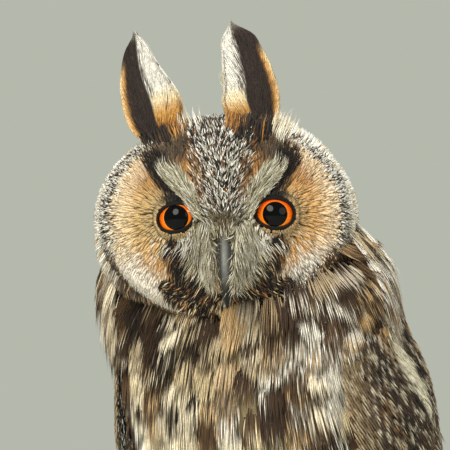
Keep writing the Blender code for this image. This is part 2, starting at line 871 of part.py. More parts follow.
def claw(name, side, out_root, out_tip, start, end):
    turn_way = 1 if end > start else -1
    slack = math.degrees(GAP / (PERCH_RADIUS + TOE_TIP_RADIUS * MM))
    first = end + turn_way * slack

    def centre(t):
        reach = PERCH_RADIUS + PERCH_KNOBBLE + GAP + (TOE_TIP_RADIUS - 0.8 * t) * MM
        reach += 3.0 * MM * math.sin(math.pi * t) * 0.5 - 1.6 * MM * t * t
        out = LEG_OUT + out_tip + 0.1 * (out_tip - out_root) * t
        return perch_point(side * out * MM, first + turn_way * CLAW_SWEEP * t, reach)

    def upright(t):
        return (centre(t) - perch_point(centre(t).x, 0, 0)).normalized()

    def radii(t):
        radius = CLAW_RADIUS * (1 - 0.9 * t**1.3) * MM
        return radius, radius * 1.15

    mesh = tube(centre, lambda t: Vector((1, 0, 0)), upright, radii, around=8, along=6)
    return make_object(name, mesh, "claw")


# Stand


def stand_base():
    mesh = bmesh.new()
    bmesh.ops.create_cube(mesh, size=1)
    bmesh.ops.scale(mesh, vec=(BASE_WIDTH, BASE_DEPTH, BASE_HEIGHT), verts=mesh.verts[:])
    bmesh.ops.translate(mesh, vec=(0, 0, BASE_HEIGHT / 2), verts=mesh.verts[:])
    upright = [e for e in mesh.edges if abs(e.verts[0].co.z - e.verts[1].co.z) > BASE_HEIGHT / 2]
    bmesh.ops.bevel(
        mesh, geom=upright, offset=BASE_CORNER, segments=6, profile=0.5, affect="EDGES", material=-1
    )
    rim = [e for e in mesh.edges if min(v.co.z for v in e.verts) > BASE_HEIGHT - 1e-6]
    bmesh.ops.bevel(
        mesh, geom=rim, offset=BASE_EDGE, segments=2, profile=0.5, affect="EDGES", material=-1
    )
    return make_object("stand_base", mesh, "base_wood")


def stand_rod(name, side):
    foot_up = BASE_HEIGHT + GAP
    top_up = PERCH_TOP - 2 * PERCH_RADIUS - GAP - PERCH_KNOBBLE

    def centre(t):
        return Vector((side * ROD_SPREAD, PERCH_BACK, foot_up + (top_up - foot_up) * t))

    mesh = tube(
        centre,
        lambda t: Vector((1, 0, 0)),
        lambda t: Vector((0, 1, 0)),
        lambda t: (ROD_RADIUS, ROD_RADIUS),
        around=16,
        along=3,
    )
    return make_object(name, mesh, "steel")


def perch():
    def centre(t):
        return Vector(((t - 0.5) * PERCH_LENGTH, PERCH_BACK, PERCH_TOP - PERCH_RADIUS))

    def radii(t):
        radius = PERCH_RADIUS + PERCH_KNOBBLE * (0.5 * math.sin(17 * t) - 0.5)
        return radius, radius

    mesh = tube(
        centre, lambda t: Vector((0, 1, 0)), lambda t: Vector((0, 0, 1)), radii, around=16, along=12
    )
    return make_object("stand_perch", mesh, "bark")


def main():
    clear_scene()
    head()
    for name, side in (("eye_left", 1), ("eye_right", -1)):
        eye(name, side)
    bill()
    for name in TUFTS:
        ear_tuft(name)
    neck = body_part("neck", NECK_TOP, NECK_FOOT, NECK_STEPS)
    throat_cutter = make_object("cutter", head_mesh(RUFF_RISE + GAP / MM), "plumage", head_matrix())
    apply_boolean(neck, [throat_cutter], "DIFFERENCE", "MANIFOLD")
    torso()
    for name, side in (("left", 1), ("right", -1)):
        wing(f"wing_{name}", side)
        leg(f"leg_{name}", side)
        foot(f"foot_{name}", side)
        for toe_name, sizes in TOES.items():
            claw(f"claw_{name}_{toe_name}", side, *sizes)
        stand_rod(f"stand_rod_{name}", side)
    tail()
    perch()
    stand_base()


main()
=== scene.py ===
"""The look of a life-size long-eared owl on its branch and display stand.

Metres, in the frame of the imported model: +Z up, the body facing -Y, its left wing at +X. Sizes
named in millimetres are multiplied by MM. Places on the head are measured from its middle.
"""

import math

import bmesh
import bpy
import numpy as np
from mathutils import Matrix, Vector
from mathutils.kdtree import KDTree


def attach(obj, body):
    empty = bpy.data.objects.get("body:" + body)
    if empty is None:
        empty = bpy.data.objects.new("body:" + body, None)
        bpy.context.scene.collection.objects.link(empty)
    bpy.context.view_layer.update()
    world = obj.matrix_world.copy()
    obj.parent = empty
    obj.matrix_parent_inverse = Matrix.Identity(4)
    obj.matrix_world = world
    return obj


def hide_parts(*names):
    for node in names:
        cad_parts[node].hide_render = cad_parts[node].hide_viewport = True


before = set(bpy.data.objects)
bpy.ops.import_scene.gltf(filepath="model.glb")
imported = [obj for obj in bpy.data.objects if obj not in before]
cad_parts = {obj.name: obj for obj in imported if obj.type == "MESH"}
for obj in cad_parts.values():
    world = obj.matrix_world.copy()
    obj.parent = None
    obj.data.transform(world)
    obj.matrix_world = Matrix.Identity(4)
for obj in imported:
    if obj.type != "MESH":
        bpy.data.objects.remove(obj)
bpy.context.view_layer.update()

MM = 0.001
DEGREE = math.pi / 180
PERCH_TOP = 0.132
PERCH_BACK = -0.014
PERCH_RADIUS = 0.012
SIDES = {"left": 1, "right": -1}
ACROSS = np.array([1.0, 0.0, 0.0])


# Numbers and colours


def colour(red, green, blue):
    """A colour from 0 to 255 as it is seen, turned into the light values that shaders use."""
    seen = np.array((red, green, blue)) / 255
    return np.where(seen <= 0.04045, seen / 12.92, ((seen + 0.055) / 1.055) ** 2.4)


def ease(value, low, high):
    t = np.clip((np.asarray(value, float) - low) / (high - low), 0, 1)
    return t * t * (3 - 2 * t)


def bump(distance, width):
    return np.exp(-((np.asarray(distance, float) / width) ** 2))


def blend(rows, place):
    """The values at fractional places in a list of rows, on a smooth curve through them."""
    rows = np.asarray(rows, float)
    last = len(rows) - 1
    place = np.clip(np.asarray(place, float), 0, last)
    i = np.minimum(place.astype(int), last - 1)
    t = (place - i)[..., None]
    a, b, c, d = (rows[np.clip(i + k, 0, last)] for k in (-1, 0, 1, 2))
    bend = (2 * a - 5 * b + 4 * c - d) * t**2 + (3 * b - a - 3 * c + d) * t**3
    return 0.5 * (2 * b + (c - a) * t + bend)


def unit(vectors):
    length = np.linalg.norm(vectors, axis=-1, keepdims=True)
    return vectors / np.maximum(length, 1e-12)


def mix(first, second, share):
    share = np.asarray(share, float)[..., None]
    return first * (1 - share) + second * share


def steps(count):
    """Even steps from 0 to 1 in one row, for values that are (barb, step)."""
    return np.linspace(0, 1, count)[None, :]


def mirrored(span, side):
    """A span of degrees on the left, or the same one on the right."""
    return span if side > 0 else (-span[1], -span[0])


def nearest(points, wanted):
    """The number of the nearest of the points to each of the wanted places."""
    tree = KDTree(len(points))
    for i, point in enumerate(points):
        tree.insert(point, i)
    tree.balance()
    return np.array([tree.find(place)[1] for place in wanted])


def pick(draw, count, palette):
    """A colour for each of count things, drawn from (share, colour) pairs."""
    shares = np.cumsum([share for share, _ in palette])
    chosen = np.searchsorted(shares / shares[-1], draw.uniform(size=count))
    return np.array([tone for _, tone in palette])[np.minimum(chosen, len(palette) - 1)]


def to_segment(x, z, ax, az, bx, bz):
    t = ((x - ax) * (bx - ax) + (z - az) * (bz - az)) / ((bx - ax) ** 2 + (bz - az) ** 2)
    t = np.clip(t, 0, 1)
    return np.hypot(x - ax - t * (bx - ax), z - az - t * (bz - az)), t


def stroke(x, z, line, widths, soft=0.3):
    """1 inside a painted stroke along a line, 0 outside it. Widths are to each side."""
    away = np.full(np.shape(x), 99.0)
    for (ax, az), (bx, bz), first, last in zip(line, line[1:], widths, widths[1:]):
        distance, t = to_segment(x, z, ax, az, bx, bz)
        away = np.minimum(away, distance / (first + (last - first) * t))
    return 1 - ease(away, 1 - soft, 1 + soft)


def ripple(points, scale, seed):
    """A smooth wandering value from about -1 to 1, from a few crossed waves."""
    draw = np.random.default_rng(seed)
    total = np.zeros(points.shape[:-1])
    for _ in range(6):
        direction = unit(draw.normal(size=points.shape[-1])) * draw.uniform(0.6, 1.6) / scale
        total += np.sin(points @ direction + draw.uniform(0, 6.3))
    return total / 3


# The body's surface

# Stations down the spine: how far back and up from the perch they lie, half the width, and the
# depth ahead and behind, in millimetres.
BODY_STATIONS = (
    (-36, 206, 50, 26, 36),
    (-27, 184, 60, 34, 46),
    (-14, 158, 57, 48, 50),
    (-1, 130, 54, 53, 51),
    (10, 100, 53, 56, 47),
    (20, 72, 50, 53, 42),
    (29, 44, 44, 46, 35),
    (38, 18, 34, 34, 27),
    (46, -8, 22, 20, 17),
    (54, -32, 13, 9, 10),
    (60, -52, 11, 6, 7),
    (66, -72, 10, 5, 6),
    (77, -106, 9, 4, 5),
)
# Half the width and the depth behind where the wings lie, at the same stations.
WING_BED = (
    (50, 36),
    (60, 46),
    (56, 50),
    (54, 51),
    (53, 47),
    (50.5, 43),
    (47, 38),
    (42, 33),
    (36.5, 27.5),
    (31, 22.5),
    (27, 18.5),
    (24, 15),
    (19, 11),
)
TORSO_FOOT = 9.3


def spine(station):
    rows = blend(BODY_STATIONS, station)
    return np.stack([np.zeros(len(rows)), rows[:, 0] * MM, PERCH_TOP + rows[:, 1] * MM], 1)


def section_point(station, degrees, half_width, front, behind):
    down = unit(spine(station + 0.05) - spine(station - 0.05))
    back = unit(np.cross(ACROSS, down))
    back = back * np.where(back[:, 1:2] < 0, -1, 1)
    angle = degrees * DEGREE
    depth = np.where(np.cos(angle) > 0, front, behind) * np.cos(angle) * MM
    point = spine(station) - back * depth[:, None]
    point[:, 0] += half_width * np.sin(angle) * MM
    return point


def body_surface(station, degrees):
    _, _, half_width, front, behind = blend(BODY_STATIONS, station).T
    return section_point(station, degrees, half_width, front, behind)


def wing_bed(station, degrees):
    front = blend(BODY_STATIONS, station)[:, 3]
    half_width, behind = blend(WING_BED, station).T
    return section_point(station, degrees, half_width, front, behind)


def body_middle(station, degrees):
    return spine(station)


# The head's surface

HEAD_HALF_WIDTH = 51.5
HEAD_HALF_HEIGHT = 38.8
HEAD_DROP = -1.5
FACE_SHARE = 0.56
FACE_DEPTH = 30
NAPE_DEPTH = 44
TEMPLE_DEPTH = 2.6
HEAD_MATRIX = (
    Matrix.Translation((0, -0.038, PERCH_TOP + 0.212))
    @ Matrix.Rotation(27 * DEGREE, 4, "Z")
    @ Matrix.Rotation(-2 * DEGREE, 4, "Y")
    @ Matrix.Rotation(2 * DEGREE, 4, "X")
)


def from_head(points):
    matrix = np.array(HEAD_MATRIX)
    return points @ matrix[:3, :3].T + matrix[:3, 3]


def place_in_head(points):
    matrix = np.array(HEAD_MATRIX.inverted())
    return points @ matrix[:3, :3].T + matrix[:3, 3]


def face_relief(x, z, radius):
    out = np.abs(x)
    relief = 3.0 * bump(radius - 0.9, 0.055) * ease(out, 6, 16)
    relief -= 4.5 * bump(np.hypot((out - 26) / 13, (z + 3) / 20), 1.0)
    ridge_width = 5.5 + 6.0 * ease(z, 2, 30)
    relief += 8.5 * bump(out, ridge_width) * ease(z, -34, -12) * (1 - 0.7 * ease(z, 14, 38))
    relief += 3.2 * bump(to_segment(out, z, 7, 4, 19, 21)[0], 4.6)
    relief += 3.6 * bump(to_segment(out, z, 7, -6, 8, -24)[0], 5.5)
    return relief


def head_surface(turn, step):
    angle = 2 * np.pi * turn
    face = step < FACE_SHARE
    share = np.clip(step / FACE_SHARE, 0, 1) ** 0.9
    polar = np.pi / 2 * np.where(face, share, 1 + (step - FACE_SHARE) / (1 - FACE_SHARE))
    radius = np.sin(polar)
    x = HEAD_HALF_WIDTH * radius * np.cos(angle)
    z = HEAD_DROP + HEAD_HALF_HEIGHT * radius * np.sin(angle)
    flat = ease(np.cos(angle), 0.35, 0.7) * ease(np.sin(angle), -0.5, -0.05)
    lean = np.clip(np.abs(np.cos(polar)), 0, 1)
    front = -FACE_DEPTH * lean**0.75 - face_relief(x, z, radius) * (1 - ease(radius, 0.97, 1.0))
    y = np.where(face, front, NAPE_DEPTH * lean**0.95)
    x = x - TEMPLE_DEPTH * flat * ease(radius, 0.7, 1.0)
    return from_head(np.stack([x, y, z], 1) * MM)


def face_to_head(x, z):
    turn = np.arctan2((z - HEAD_DROP) / HEAD_HALF_HEIGHT, x / HEAD_HALF_WIDTH) / (2 * np.pi)
    radius = np.clip(np.hypot(x / HEAD_HALF_WIDTH, (z - HEAD_DROP) / HEAD_HALF_HEIGHT), 0, 0.9999)
    return turn, FACE_SHARE * (np.arcsin(radius) / (np.pi / 2)) ** (1 / 0.9)


def head_to_face(turn, step):
    angle = 2 * np.pi * turn
    radius = np.sin(np.pi / 2 * np.clip(step / FACE_SHARE, 0, 1) ** 0.9)
    x = HEAD_HALF_WIDTH * radius * np.cos(angle)
    return x, HEAD_DROP + HEAD_HALF_HEIGHT * radius * np.sin(angle)


def face_surface(x, z):
    """A place on the face, from its distance sideways and upwards in millimetres."""
    return head_surface(*face_to_head(x, z))


# How far ahead of the middle of the head the bill's ridge stands, by its height.
BILL_RIDGE_UP = (-36, -34, -29.5, -23.5, -17, -11.5, -7, 0)
BILL_RIDGE_AHEAD = (-40.0, -42.7, -46.5, -49.1, -49.0, -46.0, -41, -36)


def muzzle_surface(x, z):
    """The face with the bristles' bed, which rises from the cheeks to the bill's ridge."""
    point = place_in_head(face_surface(x, z)) / MM
    ridge = np.interp(z, BILL_RIDGE_UP, BILL_RIDGE_AHEAD) + 1.2 - 2.0 * ease(z, -13, -8)
    share = (1 - ease(np.abs(x), 1.2, 9.5)) * ease(-z, 1, 9)
    point[:, 1] += (np.minimum(ridge, point[:, 1]) - point[:, 1]) * share
    return from_head(point * MM)


def head_middle(first, second):
    return np.repeat(from_head(np.array([[0, 0, HEAD_DROP * MM]])), len(first), 0)


# Surfaces of the legs, toes and ear tufts

LEG_OUT = 22
# How far back and up from the perch, and the radius, from the top of a leg to its foot.
LEG_ROWS = ((14, 66, 19), (10, 44, 16.5), (5, 25, 12), (1, 11, 8.5))
TOE_RADIUS = 4.6
TOE_TAPER = 1.3
# How far out from the leg a toe's root and tip lie, and the degrees round the branch of both.
TOES = {
    "inner_front": (-4.5, -10, 84, 2),
    "outer_front": (4.5, 9, 84, -4),
    "hind": (-4, -7, 100, 160),
    "outer_hind": (5, 11, 98, 176),
}
CLAW_SWEEP = 52
EYE_IN_HEAD = (17.6, -20.5, 0.5)
EYE_TURN = 8
LID_RADIUS = 10.2
# Each ear tuft's root and tip in the head, the turn of its front, and how far its inner and
# outer edges lie from its middle line, from foot to tip.
TUFTS = {
    "right": (
        (-23, -4, 28),
        (-33.5, 2, 71),
        -20,
        (-4.5, -7.5, -9.5, -9.8, -8.2, -5.9, -4.2, -2.5, 0),
        (5, 10.2, 12.4, 12.6, 12, 10.6, 8.6, 5.8, 0.9),
    ),
    "left": (
        (11.6, -4, 28),
        (3.1, 2, 73.5),
        12,
        (-7, -7.4, -8.4, -8.8, -7, -6.2, -5.2, -4, -0.3),
        (8.5, 9.6, 11.2, 12, 11.6, 10.5, 9, 7, 0.9),
    ),
}


def leg_surface(side):
    def place(t, degrees):
        back, up, radius = blend(LEG_ROWS, t * (len(LEG_ROWS) - 1)).T
        x = side * LEG_OUT + radius * np.sin(degrees * DEGREE)
        y = back - radius * np.cos(degrees * DEGREE)
        return np.stack([x * MM, PERCH_BACK + y * MM, PERCH_TOP + up * MM], 1)

    return place


def eye_frame(side):
    out, ahead, up = EYE_IN_HEAD
    place = Matrix.Translation(Vector((side * out, ahead, up)) * MM)
    return HEAD_MATRIX @ place @ Matrix.Rotation(side * EYE_TURN * DEGREE, 4, "Z")


def placed(points, matrix):
    matrix = np.array(matrix)
    return (points * MM) @ matrix[:3, :3].T + matrix[:3, 3]


def lid_surface(side):
    """The lids' surface, by the angle round the eye from its outer corner and the distance."""

    def place(degrees, radius):
        x, z = radius * np.cos(degrees * DEGREE), radius * np.sin(degrees * DEGREE)
        y = -np.sqrt(np.clip(LID_RADIUS**2 - radius**2, 4, None))
        return placed(np.stack([side * x, y, z], 1), eye_frame(side))

    return place


def lid_middle(side):
    return lambda degrees, radius: placed(np.zeros((len(degrees), 3)), eye_frame(side))


def perch_point(x, degrees, radius):
    """Points round the branch's axis: 90 degrees is its top and 0 its front."""
    angle = degrees * DEGREE
    up = PERCH_TOP - PERCH_RADIUS + radius * np.sin(angle)
    return np.stack([x, PERCH_BACK - radius * np.cos(angle), up], 1)


def round_perch(line, radii):
    """A surface round a line that lies along the branch's side."""

    def place(t, degrees):
        wide, high = radii(t)
        angle = degrees * DEGREE
        x, around, reach = line(t)
        outwards = perch_point(x, around, reach + high * np.cos(angle))
        outwards[:, 0] += wide * np.sin(angle)
        return outwards

    return place


def toe_line(side, name):
    out_root, out_tip, start, end = TOES[name]

    def line(t):
        out = LEG_OUT + out_root + (out_tip - out_root) * t
        reach = PERCH_RADIUS + (1.0 + TOE_RADIUS - TOE_TAPER * t) * MM
        return side * out * MM, start + (end - start) * t, reach

    return line


def toe_radii(t):
    tip = 1 - ease(t, 0.9, 1.0) * 0.25
    radius = (TOE_RADIUS - TOE_TAPER * t) * (1 + 0.08 * np.sin(9 * t)) * tip * MM
    return radius, radius


def claw_line(side, name):
    out_root, out_tip, start, end = TOES[name]
    way = 1 if end > start else -1

    def line(t):
        out = LEG_OUT + out_tip + 0.1 * (out_tip - out_root) * t
        lift = 1.5 * np.sin(np.pi * t) - 1.6 * t * t
        reach = PERCH_RADIUS + (1.0 + 3.3 - 0.8 * t + lift) * MM
        return side * out * MM, end + way * (CLAW_SWEEP * t - 4), reach

    return line


def claw_radii(t):
    radius = 2.3 * (1 - 0.93 * t**1.3) * MM
    return radius, 1.12 * radius


def middle_of(line):
    def place(t, degrees):
        x, around, reach = line(t)
        return perch_point(x, around, reach)

    return place


def leg_middle(side):
    def place(t, degrees):
        back, up, _ = blend(LEG_ROWS, t * (len(LEG_ROWS) - 1)).T
        x = np.full(len(back), side * LEG_OUT * MM)
        return np.stack([x, PERCH_BACK + back * MM, PERCH_TOP + up * MM], 1)

    return place


def tuft_surface(name, face, depth=0.0):
    """The front (face 1) or back (face -1) of an ear tuft, from its edges (-1 to 1) and its height."""
    side = SIDES[name]
    root, tip, turn, inner, outer = TUFTS[name]
    root, tip = np.array(root, float), np.array(tip, float)
    rise = unit(tip - root)
    ahead = np.array([math.sin(turn * DEGREE), -math.cos(turn * DEGREE), 0])
    ahead = unit(ahead - rise * (ahead @ rise))
    across = unit(np.cross(ahead, rise))
    across = across * (1 if across[0] * side > 0 else -1)
    inner = np.array(inner)[:, None]
    outer = np.array(outer)[:, None]

    def place(share, height):
        up = np.clip(height, 0, 1) * 8
        low, high = blend(inner, up)[:, 0], blend(outer, up)[:, 0]
        sideways = (low + high) / 2 + (high - low) / 2 * share
        thick = (1 - share**4) * (1 - ease(height, 0.5, 1.05)) * (3.2 * (1 - height) + 1.2) + 0.4
        cup = 1.6 * share**2 * np.sin(np.pi * np.clip(height, 0, 1))
        forward = cup + face * (thick * (0.35 if face > 0 else 0.8) + depth)
        point = root + (tip - root) * height[:, None] + across * sideways[:, None]
        return from_head((point + ahead * forward[:, None]) * MM)

    return place


# Each surface, the places inside it that tell its outer side, and the steps for its slopes.
SURFACES = {
    "body": (body_surface, body_middle, (0.03, 1.5)),
    "wing": (wing_bed, body_middle, (0.03, 1.5)),
    "head": (head_surface, head_middle, (0.004, 0.006)),
    "face": (face_surface, head_middle, (0.5, 0.5)),
    "muzzle": (muzzle_surface, head_middle, (0.4, 0.4)),
}
for name, side in SIDES.items():
    SURFACES[f"leg_{name}"] = (leg_surface(side), leg_middle(side), (0.02, 4))
    SURFACES[f"lid_{name}"] = (lid_surface(side), lid_middle(side), (3, 0.3))
    for toe in TOES:
        line = toe_line(side, toe)
        SURFACES[f"toe_{name}_{toe}"] = (round_perch(line, toe_radii), middle_of(line), (0.02, 6))
    front, back = tuft_surface(name, 1), tuft_surface(name, -1)
    SURFACES[f"tuft_front_{name}"] = (front, back, (0.02, 0.01))
    SURFACES[f"tuft_back_{name}"] = (back, front, (0.02, 0.01))


def slopes(surface_name, first, second):
    surface, _, steps = SURFACES[surface_name]
    along = (surface(first + steps[0], second) - surface(first - steps[0], second)) / (2 * steps[0])
    around = (surface(first, second + steps[1]) - surface(first, second - steps[1])) / (2 * steps[1])
    return along, around


def raised(surface_name, first, second, height):
    """Points above a surface by a height in millimetres, and the surface's normals there."""
    surface, middle, _ = SURFACES[surface_name]
    along, around = slopes(surface_name, first, second)
    point = surface(first, second)
    normal = unit(np.cross(along, around))
    inside = (normal * (point - middle(first, second))).sum(1) < 0
    normal = normal * np.where(inside, -1, 1)[:, None]
    return point + normal * (np.asarray(height) * MM)[:, None], normal


def scatter(surface_name, first_span, second_span, count, draw, keep=None):
    """About count places, spread evenly over a part of a surface."""
    i = np.arange(1, 5 * count + 1)
    first = first_span[0] + (first_span[1] - first_span[0]) * ((i * 0.7548776662) % 1)
    second = second_span[0] + (second_span[1] - second_span[0]) * ((i * 0.5698402909) % 1)
    along, around = slopes(surface_name, first, second)
    area = np.linalg.norm(np.cross(along, around), axis=1)
    chosen = draw.uniform(size=len(i)) * np.quantile(area, 0.97) < area
    if keep is not None:
        chosen &= keep(first, second)
    places = np.stack([first, second], 1)[chosen]
    return places[: min(count, len(places))]


def lay(surface_name, roots, flow, length, rows):
    """The lines that feathers follow over a surface from their roots, as places in rows."""
    places = [roots]
    for _ in range(rows - 1):
        here = places[-1]
        along, around = slopes(surface_name, here[:, 0], here[:, 1])
        scale = np.stack([np.linalg.norm(along, axis=1), np.linalg.norm(around, axis=1)], 1) / MM
        way = unit(flow(here[:, 0], here[:, 1]))
        places.append(here + way * (length / (rows - 1))[:, None] / np.maximum(scale, 1e-3))
    return np.stack(places, 1)


# Meshes from bmesh shapes


def cut_across(mesh, levels):
    for level in levels:
        everything = mesh.verts[:] + mesh.edges[:] + mesh.faces[:]
        bmesh.ops.bisect_plane(mesh, geom=everything, plane_co=(0, 0, level), plane_no=(0, 0, 1))


def move_corners(corners, points):
    for corner, point in zip(corners, points):
        corner.co = point


def round_rod(mesh, around, capped=True):
    """A rod of radius and height 1, from -0.5 to 0.5 along Z."""
    bmesh.ops.create_cone(mesh, cap_ends=capped, segments=around, radius1=1, radius2=1, depth=1)


def template(mesh):
    """The corners and triangles of a small shape that is repeated many times."""
    bmesh.ops.triangulate(mesh, faces=mesh.faces[:])
    bmesh.ops.recalc_face_normals(mesh, faces=mesh.faces[:])
    mesh.verts.index_update()
    corners = np.array([v.co for v in mesh.verts])
    faces = np.array([[v.index for v in f.verts] for f in mesh.faces])
    mesh.free()
    return corners, faces


def barb_template(rows):
    """A three-sided rod that ends in a point: each corner's ring, its side, and the triangles."""
    mesh = bmesh.new()
    round_rod(mesh, 3)
    bmesh.ops.translate(mesh, vec=(0, 0, 0.5), verts=mesh.verts[:])
    cut_across(mesh, [ring / (rows - 1) for ring in range(1, rows - 1)])
    tip = [v for v in mesh.verts if v.co.z > 0.99]
    bmesh.ops.pointmerge(mesh, verts=tip, merge_co=(0, 0, 1))
    corners, faces = template(mesh)
    rings = np.round(corners[:, 2] * (rows - 1)).astype(int)
    turns = np.arctan2(corners[:, 1], corners[:, 0])
    sides = np.round((turns - turns.min()) / (2 * np.pi / 3)).astype(int) % 3
    return rings, sides, faces


def vane_template(columns, rows):
    """A thin plate: each corner's place across (-1 to 1), its row, its face, and the triangles."""
    mesh = bmesh.new()
    bmesh.ops.create_grid(mesh, x_segments=columns, y_segments=rows, size=1)
    made = bmesh.ops.extrude_face_region(mesh, geom=mesh.faces[:])["geom"]
    lifted = [v for v in made if isinstance(v, bmesh.types.BMVert)]
    bmesh.ops.translate(mesh, vec=(0, 0, 1), verts=lifted)
    corners, faces = template(mesh)
    rings = np.round((corners[:, 1] + 1) / 2 * rows).astype(int)
    return corners[:, 0], rings, np.round(corners[:, 2]).astype(int), faces


def smooth_faces(data):
    data.polygons.foreach_set("use_smooth", np.ones(len(data.polygons), dtype=bool))


def mesh_from_arrays(name, points, faces):
    data = bpy.data.meshes.new(name)
    data.vertices.add(len(points))
    data.vertices.foreach_set("co", points.astype(np.float32).ravel())
    data.loops.add(faces.size)
    data.loops.foreach_set("vertex_index", faces.astype(np.int32).ravel())
    data.polygons.add(len(faces))
    data.polygons.foreach_set("loop_start", np.arange(len(faces), dtype=np.int32) * 3)
    smooth_faces(data)
    data.update(calc_edges=True)
    return data


def repeated(name, points, faces):
    """One mesh from many copies of a template; points are (copy, corner, 3)."""
    count, size, _ = points.shape
    a, b, c = (points[:, faces[:, i]] for i in range(3))
    middle = points.mean(1, keepdims=True)
    inward = ((a - middle) * np.cross(b - middle, c - middle)).sum(-1).sum(-1) < 0
    all_faces = np.repeat(faces[None], count, 0)
    all_faces[inward] = all_faces[inward][:, :, ::-1]
    all_faces = all_faces + (np.arange(count) * size)[:, None, None]
    return mesh_from_arrays(name, points.reshape(-1, 3), all_faces.reshape(-1, 3))


def new_object(name, data):
    made = bpy.data.objects.new(name, data)
    bpy.context.scene.collection.objects.link(made)
    return made


def add_piece(name, data, finish, slot, *nodes):
    """Adds a finished mesh to the scene in place of the model's nodes."""
    piece = new_object(name, data)
    data.materials.append(finish)
    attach(piece, "root")
    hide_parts(*nodes)


def to_data(name, mesh):
    data = bpy.data.meshes.new(name)
    mesh.to_mesh(data)
    mesh.free()
    return data


def finished(name, mesh):
    bmesh.ops.recalc_face_normals(mesh, faces=mesh.faces[:])
    if mesh.calc_volume(signed=True) < 0:
        bmesh.ops.reverse_faces(mesh, faces=mesh.faces[:])
    data = to_data(name, mesh)
    smooth_faces(data)
    return data


def globe(mesh, around, along, place):
    """Adds a closed shape whose points come from place(turn, step), both arrays from 0 to 1."""
    made = bmesh.ops.create_uvsphere(mesh, u_segments=around, v_segments=along, radius=1)["verts"]
    sphere = np.array([v.co for v in made])
    turn = np.arctan2(sphere[:, 1], sphere[:, 0]) / (2 * np.pi)
    step = np.arccos(np.clip(sphere[:, 2], -1, 1)) / np.pi
    move_corners(made, place(turn, step))


def tube_place(surface, middle, along):
    """A place(turn, step) for globe that closes a tube's surface(t, degrees) at both ends."""

    def place(turn, step):
        t = np.clip((step - 1 / along) / (1 - 2 / along), 0, 1)
        on_end = (step < 0.5 / along) | (step > 1 - 0.5 / along)
        point = surface(t, turn * 360)
        point[on_end] = middle(t, turn * 360)[on_end]
        return point

    return place


def set_tones(data, tones, name="plumage"):
    layer = data.attributes.new(name, "FLOAT_COLOR", "POINT")
    tones = np.concatenate([np.clip(tones, 0, 1), np.ones((len(tones), 1))], 1)
    layer.data.foreach_set("color", tones.astype(np.float32).ravel())


def unwrap(points):
    """A place on the unwrapped skin: the turn round the body's middle, and the height."""
    height = (points[:, 2] - PERCH_TOP) / MM
    rows = np.array(BODY_STATIONS, float)
    middle = np.interp(-height, -rows[:, 1], rows[:, 0]) * MM
    turn = np.arctan2(points[:, 0], -(points[:, 1] - middle)) / (2 * np.pi) + 0.5
    return 0.02 + 0.9 * turn, 0.02 + 0.96 * np.clip((height + 120) / 420, 0, 1)


def corner_points(data):
    corners = np.zeros(len(data.loops), dtype=np.int32)
    data.loops.foreach_get("vertex_index", corners)
    return corners


def set_map(data, name, u, v):
    layer = data.uv_layers.new(name=name)
    layer.data.foreach_set("uv", np.stack([u, v], 1).astype(np.float32).ravel())


def vertex_places(data):
    points = np.zeros(len(data.vertices) * 3, dtype=np.float32)
    data.vertices.foreach_get("co", points)
    return points.reshape(-1, 3).astype(float)


def move_mesh(data, points, matrix):
    data.vertices.foreach_set("co", placed(points, matrix).astype(np.float32).ravel())


def set_skin_map(data):
    corners = corner_points(data)
    u, v = unwrap(vertex_places(data))
    u, v = u[corners], v[corners]
    starts = np.zeros(len(data.polygons), dtype=np.int32)
    totals = np.zeros(len(data.polygons), dtype=np.int32)
    data.polygons.foreach_get("loop_start", starts)
    data.polygons.foreach_get("loop_total", totals)
    wide = np.maximum.reduceat(u, starts) - np.minimum.reduceat(u, starts) > 0.45
    wide = np.repeat(wide, totals)
    u[wide & (u < 0.47)] += 0.9
    set_map(data, "OFBake", u, v)


def add_solid(name, mesh, tones, finish, slot, node):
    """Adds a closed shape in one colour, or in colours that tones gives for its points."""
    data = finished(name, mesh)
    points = vertex_places(data)
    set_tones(data, tones(points) if callable(tones) else np.tile(tones, (len(points), 1)))
    set_skin_map(data)
    add_piece(name, data, finish, slot, node)


PATCH = 0.003


def add_barbs(
    name, surface_name, places, heights, widths, tones, nodes, sideways=None, crest=0.6, slot="plumage"
):
    """Adds a piece of many thin barbs, each lying over a surface from its root to its tip.

    places are (barb, ring, 2) on the surface; heights and sideways are (barb, ring) in
    millimetres; widths one for each barb; tones are (barb, ring, 3); crest is how high the
    middle of a barb stands, as a share of half its width.
    """
    count, rows, _ = places.shape
    rings, sides, faces = barb_template(rows)
    flat = places.reshape(-1, 2)
    line, normal = raised(surface_name, flat[:, 0], flat[:, 1], heights.ravel())
    line, normal = line.reshape(count, rows, 3), normal.reshape(count, rows, 3)
    across = unit(np.cross(np.gradient(line, axis=1), normal))
    if sideways is not None:
        line = line + across * (sideways * MM)[:, :, None]
        across = unit(np.cross(np.gradient(line, axis=1), normal))
    t = np.linspace(0, 1, rows)
    taper = (0.6 + 0.4 * ease(t, 0, 0.3)) * (1 - 0.92 * ease(t, 0.4, 1.02))
    half = widths[:, None] * MM / 2 * taper[None, :]
    spread = np.array([-1.0, 1.0, 0.0])
    upright = np.array([0.0, 0.0, crest])
    corner = line[:, :, None, :] + across[:, :, None, :] * (half[:, :, None] * spread)[..., None]
    corner = corner + normal[:, :, None, :] * (half[:, :, None] * upright)[..., None]
    data = repeated(name, corner[:, rings, sides, :], faces)
    set_tones(data, tones[:, rings, :].reshape(-1, 3))
    u, v = unwrap(line[:, 0, :])
    u = (u[:, None] + PATCH * (spread[sides] / 2)[None, :]).ravel()
    v = (v[:, None] + PATCH * t[rings][None, :]).ravel()
    corners = corner_points(data)
    set_map(data, "OFBake", u[corners], v[corners])
    add_piece(name, data, plumage, slot, *nodes)


